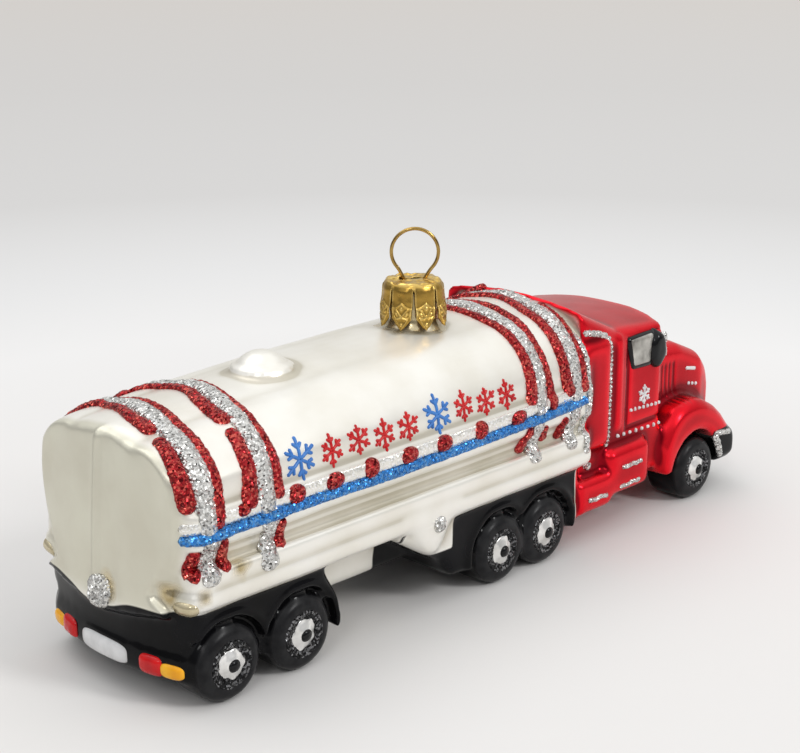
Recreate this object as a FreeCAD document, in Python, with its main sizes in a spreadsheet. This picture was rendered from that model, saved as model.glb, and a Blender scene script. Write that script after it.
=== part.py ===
import FreeCAD, Part
import math
import os
import Sketcher

# Blown-glass tanker truck ornament, millimetres. +X is the nose, +Z is up, y = 0 is the mould's plane,
# and the wheels stand on z = 0. The glass is one hollow blown piece with its wheels, cab and tank.
# Glitter and enamel are raised beads on it, and a pleated metal cap with a wire ring plugs its neck.

SIZES = {
    "glass_wall": 1.2, "overrun": 1.0,
    "tank_rear": -75.0, "tank_front": 24.0, "tank_shoulder": -12.0, "tank_fall": 3.3,
    "tank_mid_height": 31.75, "tank_half_width": 19.6, "tank_side_crown": 0.7, "tank_side_half": 6.0,
    "tank_half_height": 14.8, "tank_top_crown": 0.75, "tank_top_half": 8.0, "tank_corner_crown": 1.95,
    "tank_rim_length": 8.0, "tank_rim_draw": 3.0, "tank_crown_gain": 0.5, "tank_corner_loss": 0.5,
    "pan_foot": -78.6, "pan_lean": 4.2, "pan_bow": 75.0, "pan_depth": 0.5,
    "pan_tip": 13.75, "pan_flare_half": 16.2, "pan_flare_height": 16.2, "pan_waist_half": 11.8,
    "pan_waist_height": 19.2, "pan_shoulder_half": 13.7, "pan_shoulder_height": 38.8, "pan_side_crown": 2.7,
    "pan_top_crown": 4.0,
    "belt_drop": 4.5, "belt_rise": 1.6, "belt_step": 0.6, "belt_rear": -75.9, "belt_front": 23.5,
    "belt_corner": 3.0, "belt_lip": 0.35,
    "ledge_step": 0.6, "ledge_drop": 8.25, "ledge_rear": -75.6,
    "flange_step": 0.9, "flange_drop": 11.15, "flange_depth": 3.5, "flange_rear": -76.2,
    "flange_corner": 3.0, "flange_lip": 0.8,
    "manhole_place": -41.5, "manhole_radius": 5.3, "manhole_dome_radius": 4.5,
    "manhole_rim_height": 0.9, "manhole_dome_height": 2.4,
    "tyre_radius": 6.7, "tyre_face": 20.0, "tyre_width": 8.5, "tyre_shoulder": 1.3,
    "hub_radius": 3.4, "hub_depth": 1.0, "hub_boss_radius": 1.5, "hub_boss_reach": 0.9,
    "rear_axle": -66.3, "second_axle": -50.9, "third_axle": -1.5, "fourth_axle": 11.3, "front_axle": 60.3,
    "well_gap": 1.1, "well_floor": 17.2, "lip_width": 1.1, "lip_step": 0.6,
    "chassis_half_width": 19.2, "chassis_round": 1.4,
    "bogie_rear": -75.9, "bogie_bow": 57.0, "bogie_corner": 3.4, "bogie_bottom": 4.7, "bogie_front": -41.7,
    "bogie_front_height": 9.2, "bogie_top_front": -46.0, "bogie_foot_front": -43.3,
    "bar_half_width": 18.9, "bar_bottom": 4.4, "bar_top": 9.8, "bar_rear": -76.7, "bar_depth": 8.0,
    "bar_lip": 0.9,
    "keel_half_width": 12.0, "keel_bottom": 7.8, "keel_round": 1.5,
    "drive_rear": -27.8, "drive_foot_rear": -15.7, "drive_front": 21.5, "drive_bottom": 5.0,
    "drive_slant_height": 8.0, "drive_tail_height": 15.5,
    "fin_rear": -26.2, "fin_front": -15.1, "fin_tip": 11.6, "fin_tip_rear": -21.4, "fin_tip_front": -19.2,
    "fin_inner": 18.0, "fin_outer": 20.3,
    "cab_rear": 23.3, "cab_knee": 35.5, "cab_brow": 53.4, "cab_front": 55.2, "cab_half_width": 17.6,
    "windscreen_front": 54.4, "windscreen_bow": 34.0,
    "cab_bottom": 9.0, "roof_rear_height": 45.0, "roof_knee_height": 39.2, "roof_brow_height": 37.8,
    "windscreen_foot": 30.0, "roof_shoulder": 1.5, "roof_crown": 1.5,
    "panel_rear": 23.4, "panel_front": 31.6, "panel_step": 1.2, "panel_bottom": 18.6, "panel_top": 40.2,
    "panel_round": 0.8,
    "hood_rear": 50.0, "hood_bulge": 62.0, "hood_shoulder": 69.5, "hood_lip": 73.0, "hood_front": 74.0,
    "hood_half_width": 13.6, "hood_nose_half_width": 12.6, "hood_bottom": 7.0, "hood_rear_height": 31.4,
    "hood_bulge_height": 30.4, "hood_shoulder_height": 27.2, "hood_lip_height": 24.0,
    "hood_front_height": 20.6, "hood_round": 1.6, "hood_crown": 0.9,
    "fender_rear": 49.6, "fender_front": 74.0, "fender_half_width": 19.8, "fender_foot": 7.4,
    "fender_rear_height": 15.5, "fender_crown_rear": 56.0, "fender_crown_front": 62.5,
    "fender_crown_height": 21.5, "fender_nose_height": 12.5, "fender_bow": 0.9, "fender_round": 1.6,
    "front_well_gap": 1.4, "front_well_floor": 11.5,
    "nose_bar_rear": 66.6, "nose_bar_front": 77.6, "nose_bar_half_width": 19.8, "nose_bar_bow": 65.0,
    "nose_bar_bottom": 5.6, "nose_bar_top": 13.0, "nose_bar_corner": 2.0, "nose_bar_lip": 1.4,
    "low_step_rear": 20.8, "low_step_front": 32.0, "low_step_bottom": 6.5, "low_step_top": 13.5,
    "high_step_rear": 30.6, "high_step_front": 43.8, "high_step_bottom": 8.0, "high_step_top": 17.5,
    "step_half_width": 20.0, "step_round": 0.9,
    "neck_place": -4.6, "neck_radius": 4.6, "neck_bore": 3.6, "neck_height": 7.4,
    "collar_radius": 5.2, "collar_height": 0.6,
    "cap_sheet": 0.35, "cap_seat_gap": 0.3, "cap_height": 7.2, "cap_shoulder_radius": 5.5,
    "cap_tip_radius": 6.2, "cap_edge": 0.5, "cap_pleat": 0.25, "cap_leaf_count": 8, "cap_notch_half": 0.55,
    "cap_notch_height": 3.6, "cap_slot_half_length": 2.9, "cap_slot_half_width": 0.6,
    "ring_radius": 4.45, "wire_radius": 0.38, "ring_rise": 10.0, "leg_spread": 2.0, "leg_length": 12.0,
    "ring_turn": -45.0,
    "silver_height": 0.7, "red_height": 0.9, "silver_width": 3.4, "red_width": 1.5, "bead_gap": 0.1,
    "first_band": -70.9, "second_band": -59.0, "third_band": 9.4, "fourth_band": 19.9,
    "stripe_margin": 0.85, "stripe_width": 2.0, "stripe_height": 0.6, "stripe_rear": -71.8,
    "strip_width": 2.5, "strip_height": 0.2,
    "dot_half_length": 2.1, "dot_half_height": 1.4, "dot_depth": 0.7, "dot_rear": -52.4, "dot_pitch": 8.95,
    "dot_count": 7,
    "cab_line_width": 1.8, "cab_line_depth": 0.6, "thin_line_width": 0.8,
    "bracket_dot_place": -17.6, "bracket_dot_height": 15.6, "bracket_dot_half": 1.3,
    "window_rear": 37.6, "window_front": 46.2, "window_bottom": 32.6, "window_top": 39.0,
    "window_frame": 0.9, "window_depth": 0.25, "pane_depth": 0.15,
    "mirror_half_length": 2.9, "mirror_half_height": 4.3, "mirror_crown": 1.0, "mirror_depth": 1.5,
    "mirror_place": 47.0, "mirror_middle": 35.6,
    "lamp_inner": 8.4, "lamp_split": 13.1, "lamp_outer": 17.2, "lamp_bottom": 5.3, "lamp_top": 8.6,
    "lamp_depth": 0.8, "plate_left": 4.6, "plate_right": 7.0, "plate_depth": 0.4,
    "clump_side": -2.2, "clump_height": 16.6, "clump_half_width": 2.1, "clump_half_height": 2.6,
    "clump_depth": 0.7,
}
CORNER_GROWTH_SHARE = 0.3
OVAL_SHARE = 0.45
FALL_SHARES = [0.62, 0.33]
RIM_SHARES = [(0.0, 1.0), (0.12, 0.55), (0.3, 0.27), (0.55, 0.09)]
TOP_DRAW_SHARE = 0.15
DOME_SHARES = [(1.0, 0.0), (0.8, 0.45), (0.45, 0.85), (0.0, 1.0)]
BAND_PLACES = ["first_band", "second_band", "third_band", "fourth_band"]
AXLES = ["rear_axle", "second_axle", "third_axle", "fourth_axle", "front_axle"]

doc = FreeCAD.newDocument("tanker_truck_ornament")
sheet = doc.addObject("Spreadsheet::Sheet", "sizes")
for row, (word, value) in enumerate(SIZES.items(), 1):
    sheet.set(f"A{row}", word)
    sheet.set(f"B{row}", str(value))
    sheet.setAlias(f"B{row}", word)
doc.recompute()

V = FreeCAD.Vector


class Size:
    """A number together with the words that bind a property to the sheet."""

    def __init__(self, number, words):
        self.number = number
        self.words = words

    def join(self, sign, other, number):
        return Size(number, f"({self.words} {sign} {as_size(other).words})")

    def __add__(self, other):
        return self.join("+", other, self.number + as_size(other).number)

    def __sub__(self, other):
        return self.join("-", other, self.number - as_size(other).number)

    def __mul__(self, other):
        return self.join("*", other, self.number * as_size(other).number)

    def __truediv__(self, other):
        return self.join("/", other, self.number / as_size(other).number)

    def __neg__(self):
        return Size(-self.number, f"(0 - {self.words})")

    def root(self):
        return Size(self.number ** 0.5, f"sqrt({self.words})")

    __radd__ = __add__
    __rmul__ = __mul__


def as_size(value):
    return value if isinstance(value, Size) else Size(value, repr(value))


class Named:
    """Gives each size of the sheet by its name."""

    def __getattr__(self, word):
        return Size(sheet.get(word), f"sizes.{word}")


s = Named()
zero = as_size(0)
s.belt_bottom = s.tank_mid_height - s.belt_drop
s.belt_top = s.tank_mid_height + s.belt_rise
s.ledge_top = s.tank_mid_height - s.ledge_drop
s.flange_top = s.tank_mid_height - s.flange_drop
s.flange_bottom = s.flange_top - s.flange_depth
s.flange_half_width = s.tank_half_width + s.flange_step
s.stripe_bottom = s.belt_bottom + s.stripe_margin
s.stripe_top = s.stripe_bottom + s.stripe_width
s.strip_top = s.stripe_top + s.strip_width
s.dot_middle = s.stripe_top + s.bead_gap + s.dot_half_height
s.tank_rim = s.tank_rear + s.tank_rim_length


def bind(thing, **sizes):
    """Bind properties, with __ for the dot in a property's path."""
    for path, size in sizes.items():
        thing.setExpression(path.replace("__", "."), as_size(size).words)


def place(thing, x=zero, y=zero, z=zero):
    bind(thing, Placement__Base__x=x, Placement__Base__y=y, Placement__Base__z=z)
    return thing


def origin_plane(body, role):
    return next(item for item in body.Origin.OriginFeatures if item.Role == role)


def arc_radius(run, rise, crown):
    """The radius of an arc over a chord of that run and rise, bowed out by crown."""
    return (run * run + rise * rise) / (crown * 8) + crown / 2


def outline(body, plane, points, radii=None, lift=zero):
    """A closed sketch through points, counter-clockwise. A radius bows the side after that point out."""
    sketch = body.newObject("Sketcher::SketchObject", body.Name + "_outline")
    sketch.AttachmentSupport = [(origin_plane(body, plane), "")]
    sketch.MapMode = "FlatFace"
    bind(sketch, AttachmentOffset__Base__z=lift)
    radii = radii or {}
    points = [(as_size(u), as_size(v)) for u, v in points]
    count = len(points)
    ends = []
    for index in range(count):
        (u, v), (next_u, next_v) = points[index], points[(index + 1) % count]
        start = V(u.number, v.number, 0)
        end = V(next_u.number, next_v.number, 0)
        if index in radii:
            radius = as_size(radii[index])
            half = (end - start) * 0.5
            crown = radius.number - (radius.number ** 2 - half.Length ** 2) ** 0.5
            outward = V(half.y, -half.x, 0).normalize()
            sketch.addGeometry(Part.Arc(start, start + half + outward * crown, end), False)
            drawn = sketch.Geometry[index]
            forward = (drawn.StartPoint - start).Length < (drawn.EndPoint - start).Length
            ends.append((1, 2) if forward else (2, 1))
            constraint = sketch.addConstraint(Sketcher.Constraint("Radius", index, radius.number))
            sketch.setExpression(f"Constraints[{constraint}]", radius.words)
        else:
            sketch.addGeometry(Part.LineSegment(start, end), False)
            ends.append((1, 2))
    for index in range(count):
        after = (index + 1) % count
        sketch.addConstraint(
            Sketcher.Constraint("Coincident", index, ends[index][1], after, ends[after][0]))
        for kind, size in zip(("DistanceX", "DistanceY"), points[index]):
            constraint = sketch.addConstraint(
                Sketcher.Constraint(kind, -1, 1, index, ends[index][0], size.number))
            sketch.setExpression(f"Constraints[{constraint}]", size.words)
    return sketch


def round_edges(body, base, radius, pick=None):
    """Fillet the edges that pick chooses, or all."""
    doc.recompute()
    edges = [f"Edge{number}" for number, edge in enumerate(base.Shape.Edges, 1) if pick is None or pick(edge)]
    fillet = body.newObject("PartDesign::Fillet", body.Name + "_round")
    fillet.Base = (base, edges)
    bind(fillet, Radius=radius)
    return fillet


def bevel_edges(body, base, size, pick=None):
    """Chamfer the edges that pick chooses, or all."""
    doc.recompute()
    edges = [f"Edge{number}" for number, edge in enumerate(base.Shape.Edges, 1) if pick is None or pick(edge)]
    chamfer = body.newObject("PartDesign::Chamfer", body.Name + "_bevel")
    chamfer.Base = (base, edges)
    bind(chamfer, Size=size)
    return chamfer


def along(direction):
    """Choose the straight edges that run in one direction."""
    def pick(edge):
        chord = edge.Vertexes[-1].Point - edge.Vertexes[0].Point
        return len(edge.Vertexes) == 2 and chord.Length > 0 and abs(chord.normalize().dot(direction)) > 0.999
    return pick


def level(edge):
    """Choose the edges that keep one height."""
    return edge.BoundBox.ZLength < SIZES["flange_lip"] / 2


def prism(name, plane, points, lift, length, radii=None, rounded=None, pick=None):
    """A padded outline, with its edges rounded."""
    body = doc.addObject("PartDesign::Body", name)
    sketch = outline(body, plane, points, radii, lift)
    pad = body.newObject("PartDesign::Pad", name + "_pad")
    pad.Profile = sketch
    bind(pad, Length=length)
    sketch.Visibility = False
    if rounded is not None:
        round_edges(body, pad, rounded, pick)
    return body


def section(name, points, x_from, x_to, radii=None, rounded=None, pick=None):
    """A cross-section in y and z, carried from x_from to x_to."""
    return prism(name, "YZ_Plane", points, x_from, x_to - x_from, radii, rounded, pick)


def profile(name, points, half_width, radii=None, rounded=None, pick=None):
    """A side outline in x and z, carried across to both sides."""
    return prism(name, "XZ_Plane", points, -half_width, half_width * 2, radii, rounded, pick)


def slab(name, points, near, far, radii=None, rounded=None, pick=None):
    """A side outline in x and z, carried on the right-hand side from y = -near to y = -far."""
    return prism(name, "XZ_Plane", points, near, far - near, radii, rounded, pick)


def oblong(low_u, low_v, high_u, high_v):
    return [(low_u, low_v), (high_u, low_v), (high_u, high_v), (low_u, high_v)]


def oval(middle_u, middle_v, half_u, half_v):
    """Eight corners of a rounded patch."""
    near_u = half_u * OVAL_SHARE
    near_v = half_v * OVAL_SHARE
    corners = [(near_u, -half_v), (half_u, -near_v), (half_u, near_v), (near_u, half_v),
               (-near_u, half_v), (-half_u, near_v), (-half_u, -near_v), (-near_u, -half_v)]
    return [(middle_u + u, middle_v + v) for u, v in corners]


def arch_ends(bow, half_width):
    """How far the ends of an arc of that radius fall back over its half width."""
    return bow - (bow * bow - half_width * half_width).root()


def tail_block(name, rear, bow, front, half_width, low, high, corner, lip=None):
    """A level block whose rear edge is an arc in plan, with round rear corners and a round lip."""
    side = rear + arch_ends(bow, half_width)
    points = [(side, -half_width), (front, -half_width), (front, half_width), (side, half_width)]
    middle = (side.number + front.number) / 2
    body = prism(name, "XY_Plane", points, low, high - low, {3: bow}, corner,
                 lambda edge: along(Z_WAY)(edge) and edge.Vertexes[0].X < middle)
    if lip is not None:
        bevel_edges(body, body.Tip, lip, level)
    return body


def turned(name, points, radii=None):
    """An outline of radius and height, turned about the upright axis."""
    body = doc.addObject("PartDesign::Body", name)
    sketch = outline(body, "XZ_Plane", points, radii)
    turn = body.newObject("PartDesign::Revolution", name + "_turn")
    turn.Profile = sketch
    turn.ReferenceAxis = (sketch, ["V_Axis"])
    turn.Angle = 360
    return body


def mirrored(name, source):
    twin = doc.addObject("Part::Mirroring", name)
    twin.Source = source
    twin.Normal = V(0, 1, 0)
    return twin


def both_sides(name, source):
    """The right-hand piece and its twin on the left, as one node of separate solids."""
    pair = doc.addObject("Part::Compound", name)
    pair.Links = [source, mirrored(name + "_twin", source)]
    return pair


def fused(name, pieces):
    fusion = doc.addObject("Part::MultiFuse", name)
    fusion.Shapes = pieces
    return fusion


def cut(name, base, tool):
    left = doc.addObject("Part::Cut", name)
    left.Base = base
    left.Tool = tool
    return left


def common(name, base, tool):
    shared = doc.addObject("Part::Common", name)
    shared.Base = base
    shared.Tool = tool
    return shared


X_WAY, Y_WAY, Z_WAY = V(1, 0, 0), V(0, 1, 0), V(0, 0, 1)


def rear_share(place_x):
    """How far along the tank's falling stretch a place is, squared, so that it falls ever more steeply."""
    share = (s.tank_shoulder - place_x) / (s.tank_shoulder - s.tank_rear)
    return share * share


def tank_top_at(place_x):
    return s.tank_mid_height + s.tank_half_height - (s.tank_fall - s.tank_crown_gain) * rear_share(place_x)


def tank_outline(body, place_x, grow, draw, share):
    """The tank's cross-section: shallow arcs at the sides, top and bottom, joined by rounder ones. Its
    sides are drawn in by draw, and its top falls and grows rounder by share."""
    side = s.tank_half_width - s.tank_side_crown + grow - draw
    reach = s.tank_half_height - s.tank_top_crown + grow
    low = s.tank_mid_height - s.tank_side_half
    high = s.tank_mid_height + s.tank_side_half
    bottom = s.tank_mid_height - reach
    top = s.tank_mid_height + reach - s.tank_fall * share - draw * TOP_DRAW_SHARE
    half = s.tank_top_half
    points = [(half, bottom), (side, low), (side, high), (half, top),
              (-half, top), (-side, high), (-side, low), (-half, bottom)]
    corner_crown = s.tank_corner_crown + grow * CORNER_GROWTH_SHARE
    low_corner = arc_radius(side - half, low - bottom, corner_crown)
    high_corner = arc_radius(side - half, top - high, corner_crown - s.tank_corner_loss * share)
    steep = arc_radius(zero, s.tank_side_half * 2, s.tank_side_crown)
    flat = arc_radius(half * 2, zero, s.tank_top_crown)
    crowned = arc_radius(half * 2, zero, s.tank_top_crown + s.tank_crown_gain * share)
    radii = {0: low_corner, 1: steep, 2: high_corner, 3: crowned,
             4: high_corner, 5: steep, 6: low_corner, 7: flat}
    return outline(body, "YZ_Plane", points, radii, place_x)


def lofted(name, sketches_of):
    """A body carried straight from each of its outlines to the next."""
    body = doc.addObject("PartDesign::Body", name)
    sketches = sketches_of(body)
    loft = body.newObject("PartDesign::AdditiveLoft", name + "_loft")
    loft.Profile = sketches[0]
    loft.Sections = sketches[1:]
    loft.Ruled = True
    for sketch in sketches:
        sketch.Visibility = False
    return body


def tank_form(name, grow, rim_steps, front):
    """The tank, grown evenly by grow: level at the front, with its top falling to the rear, where its rim is
    drawn in by the named steps."""
    def ribs(body):
        places = [(s.tank_rear + s.tank_rim_length * run, s.tank_rim_draw * draw) for run, draw in rim_steps]
        places.append((s.tank_rim, zero))
        places += [(s.tank_shoulder + (s.tank_rear - s.tank_shoulder) * share, zero) for share in FALL_SHARES]
        outlines = [tank_outline(body, place_x, grow, draw, rear_share(place_x)) for place_x, draw in places]
        level_part = [tank_outline(body, place_x, grow, zero, zero) for place_x in (s.tank_shoulder, front)]
        return outlines + level_part
    return lofted(name, ribs)


def tank():
    return tank_form("tank_barrel", zero, RIM_SHARES, s.tank_front)


def rear_pan():
    """The pressed rear end: waisted outline with a pointed foot, bowed in plan and leaning forward."""
    side = arc_radius(s.pan_shoulder_half - s.pan_waist_half, s.pan_shoulder_height - s.pan_waist_height,
                      s.pan_side_crown)
    top = arc_radius(s.pan_shoulder_half * 2, zero, s.pan_top_crown)
    right_side = [(s.pan_flare_half, s.pan_flare_height), (s.pan_waist_half, s.pan_waist_height),
                  (s.pan_shoulder_half, s.pan_shoulder_height)]
    left_side = [(-half, height) for half, height in reversed(right_side)]
    slug = section("pan_slug", [(zero, s.pan_tip)] + right_side + left_side, s.pan_foot - s.overrun,
                   s.tank_rear + s.pan_depth, {2: side, 3: top, 4: side})
    return common("rear_pan", slug, pan_bow_round("pan_face", s.pan_bow))


def belt_and_flange():
    belt = tail_block("belt", s.belt_rear, s.pan_bow, s.belt_front, s.tank_half_width + s.belt_step,
                      s.belt_bottom, s.belt_top, s.belt_corner, s.belt_lip)
    ledge = tail_block("ledge", s.ledge_rear, s.pan_bow, s.tank_front, s.tank_half_width + s.ledge_step,
                       s.flange_bottom + s.overrun, s.ledge_top, s.belt_corner)
    flange = tail_block("flange", s.flange_rear, s.pan_bow, s.tank_front, s.flange_half_width,
                        s.flange_bottom, s.flange_top, s.flange_corner, s.flange_lip)
    return [belt, ledge, flange]


def manhole():
    """A round cover with a low dome in three slopes, sunk into the falling top of the tank."""
    top = tank_top_at(s.manhole_place)
    foot = top - s.manhole_radius / 2
    rim = top + s.manhole_rim_height
    points = [(zero, foot), (s.manhole_radius, foot), (s.manhole_radius, rim)]
    points += [(s.manhole_dome_radius * run, rim + s.manhole_dome_height * rise) for run, rise in DOME_SHARES]
    return place(turned("manhole", points), s.manhole_place)


def tank_top():
    return s.tank_mid_height + s.tank_half_height


def neck_top():
    return tank_top() + s.neck_height


def neck():
    foot = tank_top() - s.collar_radius / 2
    shoulder = tank_top() + s.collar_height
    points = [(zero, foot), (s.collar_radius, foot), (s.collar_radius, shoulder),
              (s.neck_radius, shoulder), (s.neck_radius, neck_top()), (zero, neck_top())]
    return place(turned("neck", points), s.neck_place)


def wheel(number, axle):
    """A tyre with a dished face and a hub boss, turned about its axle and laid on its side."""
    floor = s.tyre_width - s.hub_depth
    points = [(zero, zero), (s.tyre_radius, zero), (s.tyre_radius, s.tyre_width - s.tyre_shoulder),
              (s.tyre_radius - s.tyre_shoulder, s.tyre_width), (s.hub_radius, s.tyre_width),
              (s.hub_radius, floor), (s.hub_boss_radius, floor),
              (s.hub_boss_radius, floor + s.hub_boss_reach), (zero, floor + s.hub_boss_reach)]
    disc = turned(f"wheel_{number}", points)
    disc.Placement = FreeCAD.Placement(V(), FreeCAD.Rotation(X_WAY, 90))
    place(disc, axle, s.tyre_width - s.tyre_face, s.tyre_radius)
    return disc


def wheels():
    right = fused("wheels_right", [wheel(number, getattr(s, axle)) for number, axle in enumerate(AXLES, 1)])
    return [right, mirrored("wheels_left", right)]


def disc_at(name, axle, radius, near, far):
    """A round block on the right-hand side, centred on an axle, from y = -near to y = -far."""
    disc = doc.addObject("Part::Cylinder", name)
    bind(disc, Radius=radius, Height=far - near)
    disc.Placement = FreeCAD.Placement(V(), FreeCAD.Rotation(X_WAY, 90))
    return place(disc, axle, -near, s.tyre_radius)


def rear_wells():
    """The room round each of the eight rear tyres."""
    radius = s.tyre_radius + s.well_gap
    right = fused("rear_wells_right", [disc_at(f"well_{number}", getattr(s, axle), radius, s.well_floor,
                                               s.flange_half_width + s.overrun)
                                       for number, axle in enumerate(AXLES[:4], 1)])
    return fused("rear_wells", [right, mirrored("rear_wells_left", right)])


def chassis():
    """The dark underside: rear bogie, keel and drive block, with raised lips round the wheel wells."""
    top = s.flange_bottom + s.overrun
    bogie_tail = s.bogie_rear - s.overrun
    bogie_points = [(bogie_tail, s.bogie_bottom), (s.bogie_foot_front, s.bogie_bottom),
                    (s.bogie_front, s.bogie_front_height), (s.bogie_top_front, top), (bogie_tail, top)]
    bogie_side = profile("bogie_side", bogie_points, s.chassis_half_width)
    low_edges = s.bogie_front_height.number + s.overrun.number
    bevel_edges(bogie_side, bogie_side.Tip, s.chassis_round,
                lambda edge: along(Y_WAY)(edge) and edge.Vertexes[0].Z < low_edges)
    bogie_plan = tail_block("bogie_plan", s.bogie_rear, s.bogie_bow, s.bogie_front + s.overrun,
                            s.chassis_half_width + s.overrun, zero, top + s.overrun, s.bogie_corner)
    bogie = common("bogie", bogie_side, bogie_plan)
    bar = tail_block("rear_bar", s.bar_rear, s.bogie_bow, s.bar_rear + s.bar_depth, s.bar_half_width,
                     s.bar_bottom, s.bar_top, s.bogie_corner, s.bar_lip)
    keel = section("keel", oblong(-s.keel_half_width, s.keel_bottom, s.keel_half_width, top),
                   s.bogie_top_front - s.overrun, s.drive_foot_rear + s.overrun,
                   None, s.keel_round, along(X_WAY))
    drive_points = [(s.drive_foot_rear, s.drive_bottom), (s.drive_front, s.drive_bottom),
                    (s.drive_front, top), (s.drive_rear, top), (s.drive_rear, s.drive_tail_height),
                    (s.drive_foot_rear, s.drive_slant_height)]
    drive = profile("drive_block", drive_points, s.chassis_half_width)
    bevel_edges(drive, drive.Tip, s.chassis_round,
                lambda edge: along(Y_WAY)(edge) and edge.Vertexes[0].Z < s.drive_tail_height.number)
    lip_radius = s.tyre_radius + s.well_gap + s.lip_width
    rings = fused("lip_rings", [disc_at(f"lip_{number}", getattr(s, axle), lip_radius,
                                        s.well_floor, s.chassis_half_width + s.lip_step)
                                for number, axle in enumerate(AXLES[:4], 1)])
    lip_room = tail_block("lip_room", s.bogie_rear, s.bogie_bow, s.drive_front,
                          s.chassis_half_width + s.lip_step + s.overrun, s.bogie_bottom,
                          s.flange_bottom, s.bogie_corner)
    lips = common("lips_right", rings, lip_room)
    return cut("chassis", fused("chassis_full", [bogie, bar, keel, drive, lips, mirrored("lips_left", lips)]),
               rear_wells())


def fins():
    """A pointed web under the flange on each side, in front of the drive block's slant."""
    top = s.flange_bottom + s.overrun
    points = [(s.fin_rear, top), (s.fin_tip_rear, s.fin_tip),
              (s.fin_tip_front, s.fin_tip), (s.fin_front, top)]
    web = slab("fin_right", points, s.fin_inner, s.fin_outer)
    return [web, mirrored("fin_left", web)]


def crowned_outline(body, place_x, half_width, low, high, shoulder, crown):
    """A cross-section with straight sides, sloped shoulders and a crowned top."""
    inner = half_width - shoulder
    rise = high + shoulder
    points = [(-half_width, low), (half_width, low), (half_width, high), (inner, rise),
              (-inner, rise), (-half_width, high)]
    return outline(body, "YZ_Plane", points, {3: arc_radius(inner * 2, zero, crown)}, place_x)


def cab():
    def ribs(body):
        stations = [(s.cab_rear, s.roof_rear_height), (s.cab_knee, s.roof_knee_height),
                    (s.cab_brow, s.roof_brow_height), (s.cab_front, s.windscreen_foot)]
        return [crowned_outline(body, place_x, s.cab_half_width, s.cab_bottom, high, s.roof_shoulder,
                                s.roof_crown) for place_x, high in stations]
    side = s.windscreen_front - arch_ends(s.windscreen_bow, s.cab_half_width)
    plan = prism("windscreen_plan", "XY_Plane",
                 oblong(s.cab_rear - s.overrun, -s.cab_half_width, side, s.cab_half_width),
                 zero, s.tank_mid_height * 2, {1: s.windscreen_bow})
    shell = common("cab_shell", lofted("cab_ribs", ribs), plan)
    panel_half = s.cab_half_width + s.panel_step
    panel = profile("cab_panel", oblong(s.panel_rear, s.panel_bottom, s.panel_front, s.panel_top), panel_half)
    bevel_edges(panel, panel.Tip, s.panel_round)
    return [shell, panel]


def hood():
    def ribs(body):
        stations = [(s.hood_rear, s.hood_half_width, s.hood_rear_height),
                    (s.hood_bulge, s.hood_half_width, s.hood_bulge_height),
                    (s.hood_shoulder, s.hood_half_width, s.hood_shoulder_height),
                    (s.hood_lip, s.hood_nose_half_width, s.hood_lip_height),
                    (s.hood_front, s.hood_nose_half_width, s.hood_front_height)]
        return [crowned_outline(body, place_x, half_width, s.hood_bottom, high, s.hood_round,
                                s.hood_crown) for place_x, half_width, high in stations]
    return lofted("hood", ribs)


def fenders():
    """Arched guards over the front wheels and the bumper in front of them."""
    shoulder = (s.fender_rear_height + s.fender_crown_height) / 2 + s.fender_bow
    slope = (s.fender_crown_height + s.fender_nose_height) / 2 + s.fender_bow
    points = [(s.fender_rear, s.fender_foot), (s.fender_front, s.fender_foot),
              (s.fender_front, s.fender_nose_height),
              ((s.fender_crown_front + s.fender_front) / 2 + s.fender_bow, slope),
              (s.fender_crown_front, s.fender_crown_height), (s.fender_crown_rear, s.fender_crown_height),
              ((s.fender_rear + s.fender_crown_rear) / 2 - s.fender_bow, shoulder),
              (s.fender_rear, s.fender_rear_height)]
    side = s.fender_half_width.number
    guard = profile("fenders_full", points, s.fender_half_width)
    bevel_edges(guard, guard.Tip, s.fender_round,
                lambda edge: all(abs(abs(vertex.Y) - side) < s.fender_round.number / 2 and
                                 vertex.Z > s.fender_foot.number + s.fender_round.number / 2
                                 for vertex in edge.Vertexes))
    end = s.nose_bar_front - arch_ends(s.nose_bar_bow, s.nose_bar_half_width)
    points = oblong(s.nose_bar_rear, -s.nose_bar_half_width, end, s.nose_bar_half_width)
    ahead = s.nose_bar_rear.number + s.overrun.number
    bar = prism("nose_bar", "XY_Plane", points, s.nose_bar_bottom, s.nose_bar_top - s.nose_bar_bottom,
                {1: s.nose_bar_bow}, s.nose_bar_corner,
                lambda edge: along(Z_WAY)(edge) and edge.Vertexes[0].X > ahead)
    bevel_edges(bar, bar.Tip, s.nose_bar_lip, level)
    return [guard, bar]


def front_end():
    """Cab, hood, fenders and bumper, with the front wheels' wells cut through them."""
    well = disc_at("front_well", s.front_axle, s.tyre_radius + s.front_well_gap, s.front_well_floor,
                   s.fender_half_width + s.overrun)
    wells = fused("front_wells", [well, mirrored("front_well_left", well)])
    return cut("front_end", fused("front_full", cab() + [hood()] + fenders()), wells)


def steps():
    low = profile("low_steps", oblong(s.low_step_rear, s.low_step_bottom, s.low_step_front, s.low_step_top),
                  s.step_half_width)
    high = profile("high_steps",
                   oblong(s.high_step_rear, s.high_step_bottom, s.high_step_front, s.high_step_top),
                   s.step_half_width)
    for step in (low, high):
        bevel_edges(step, step.Tip, s.step_round)
    return [low, high]


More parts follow.
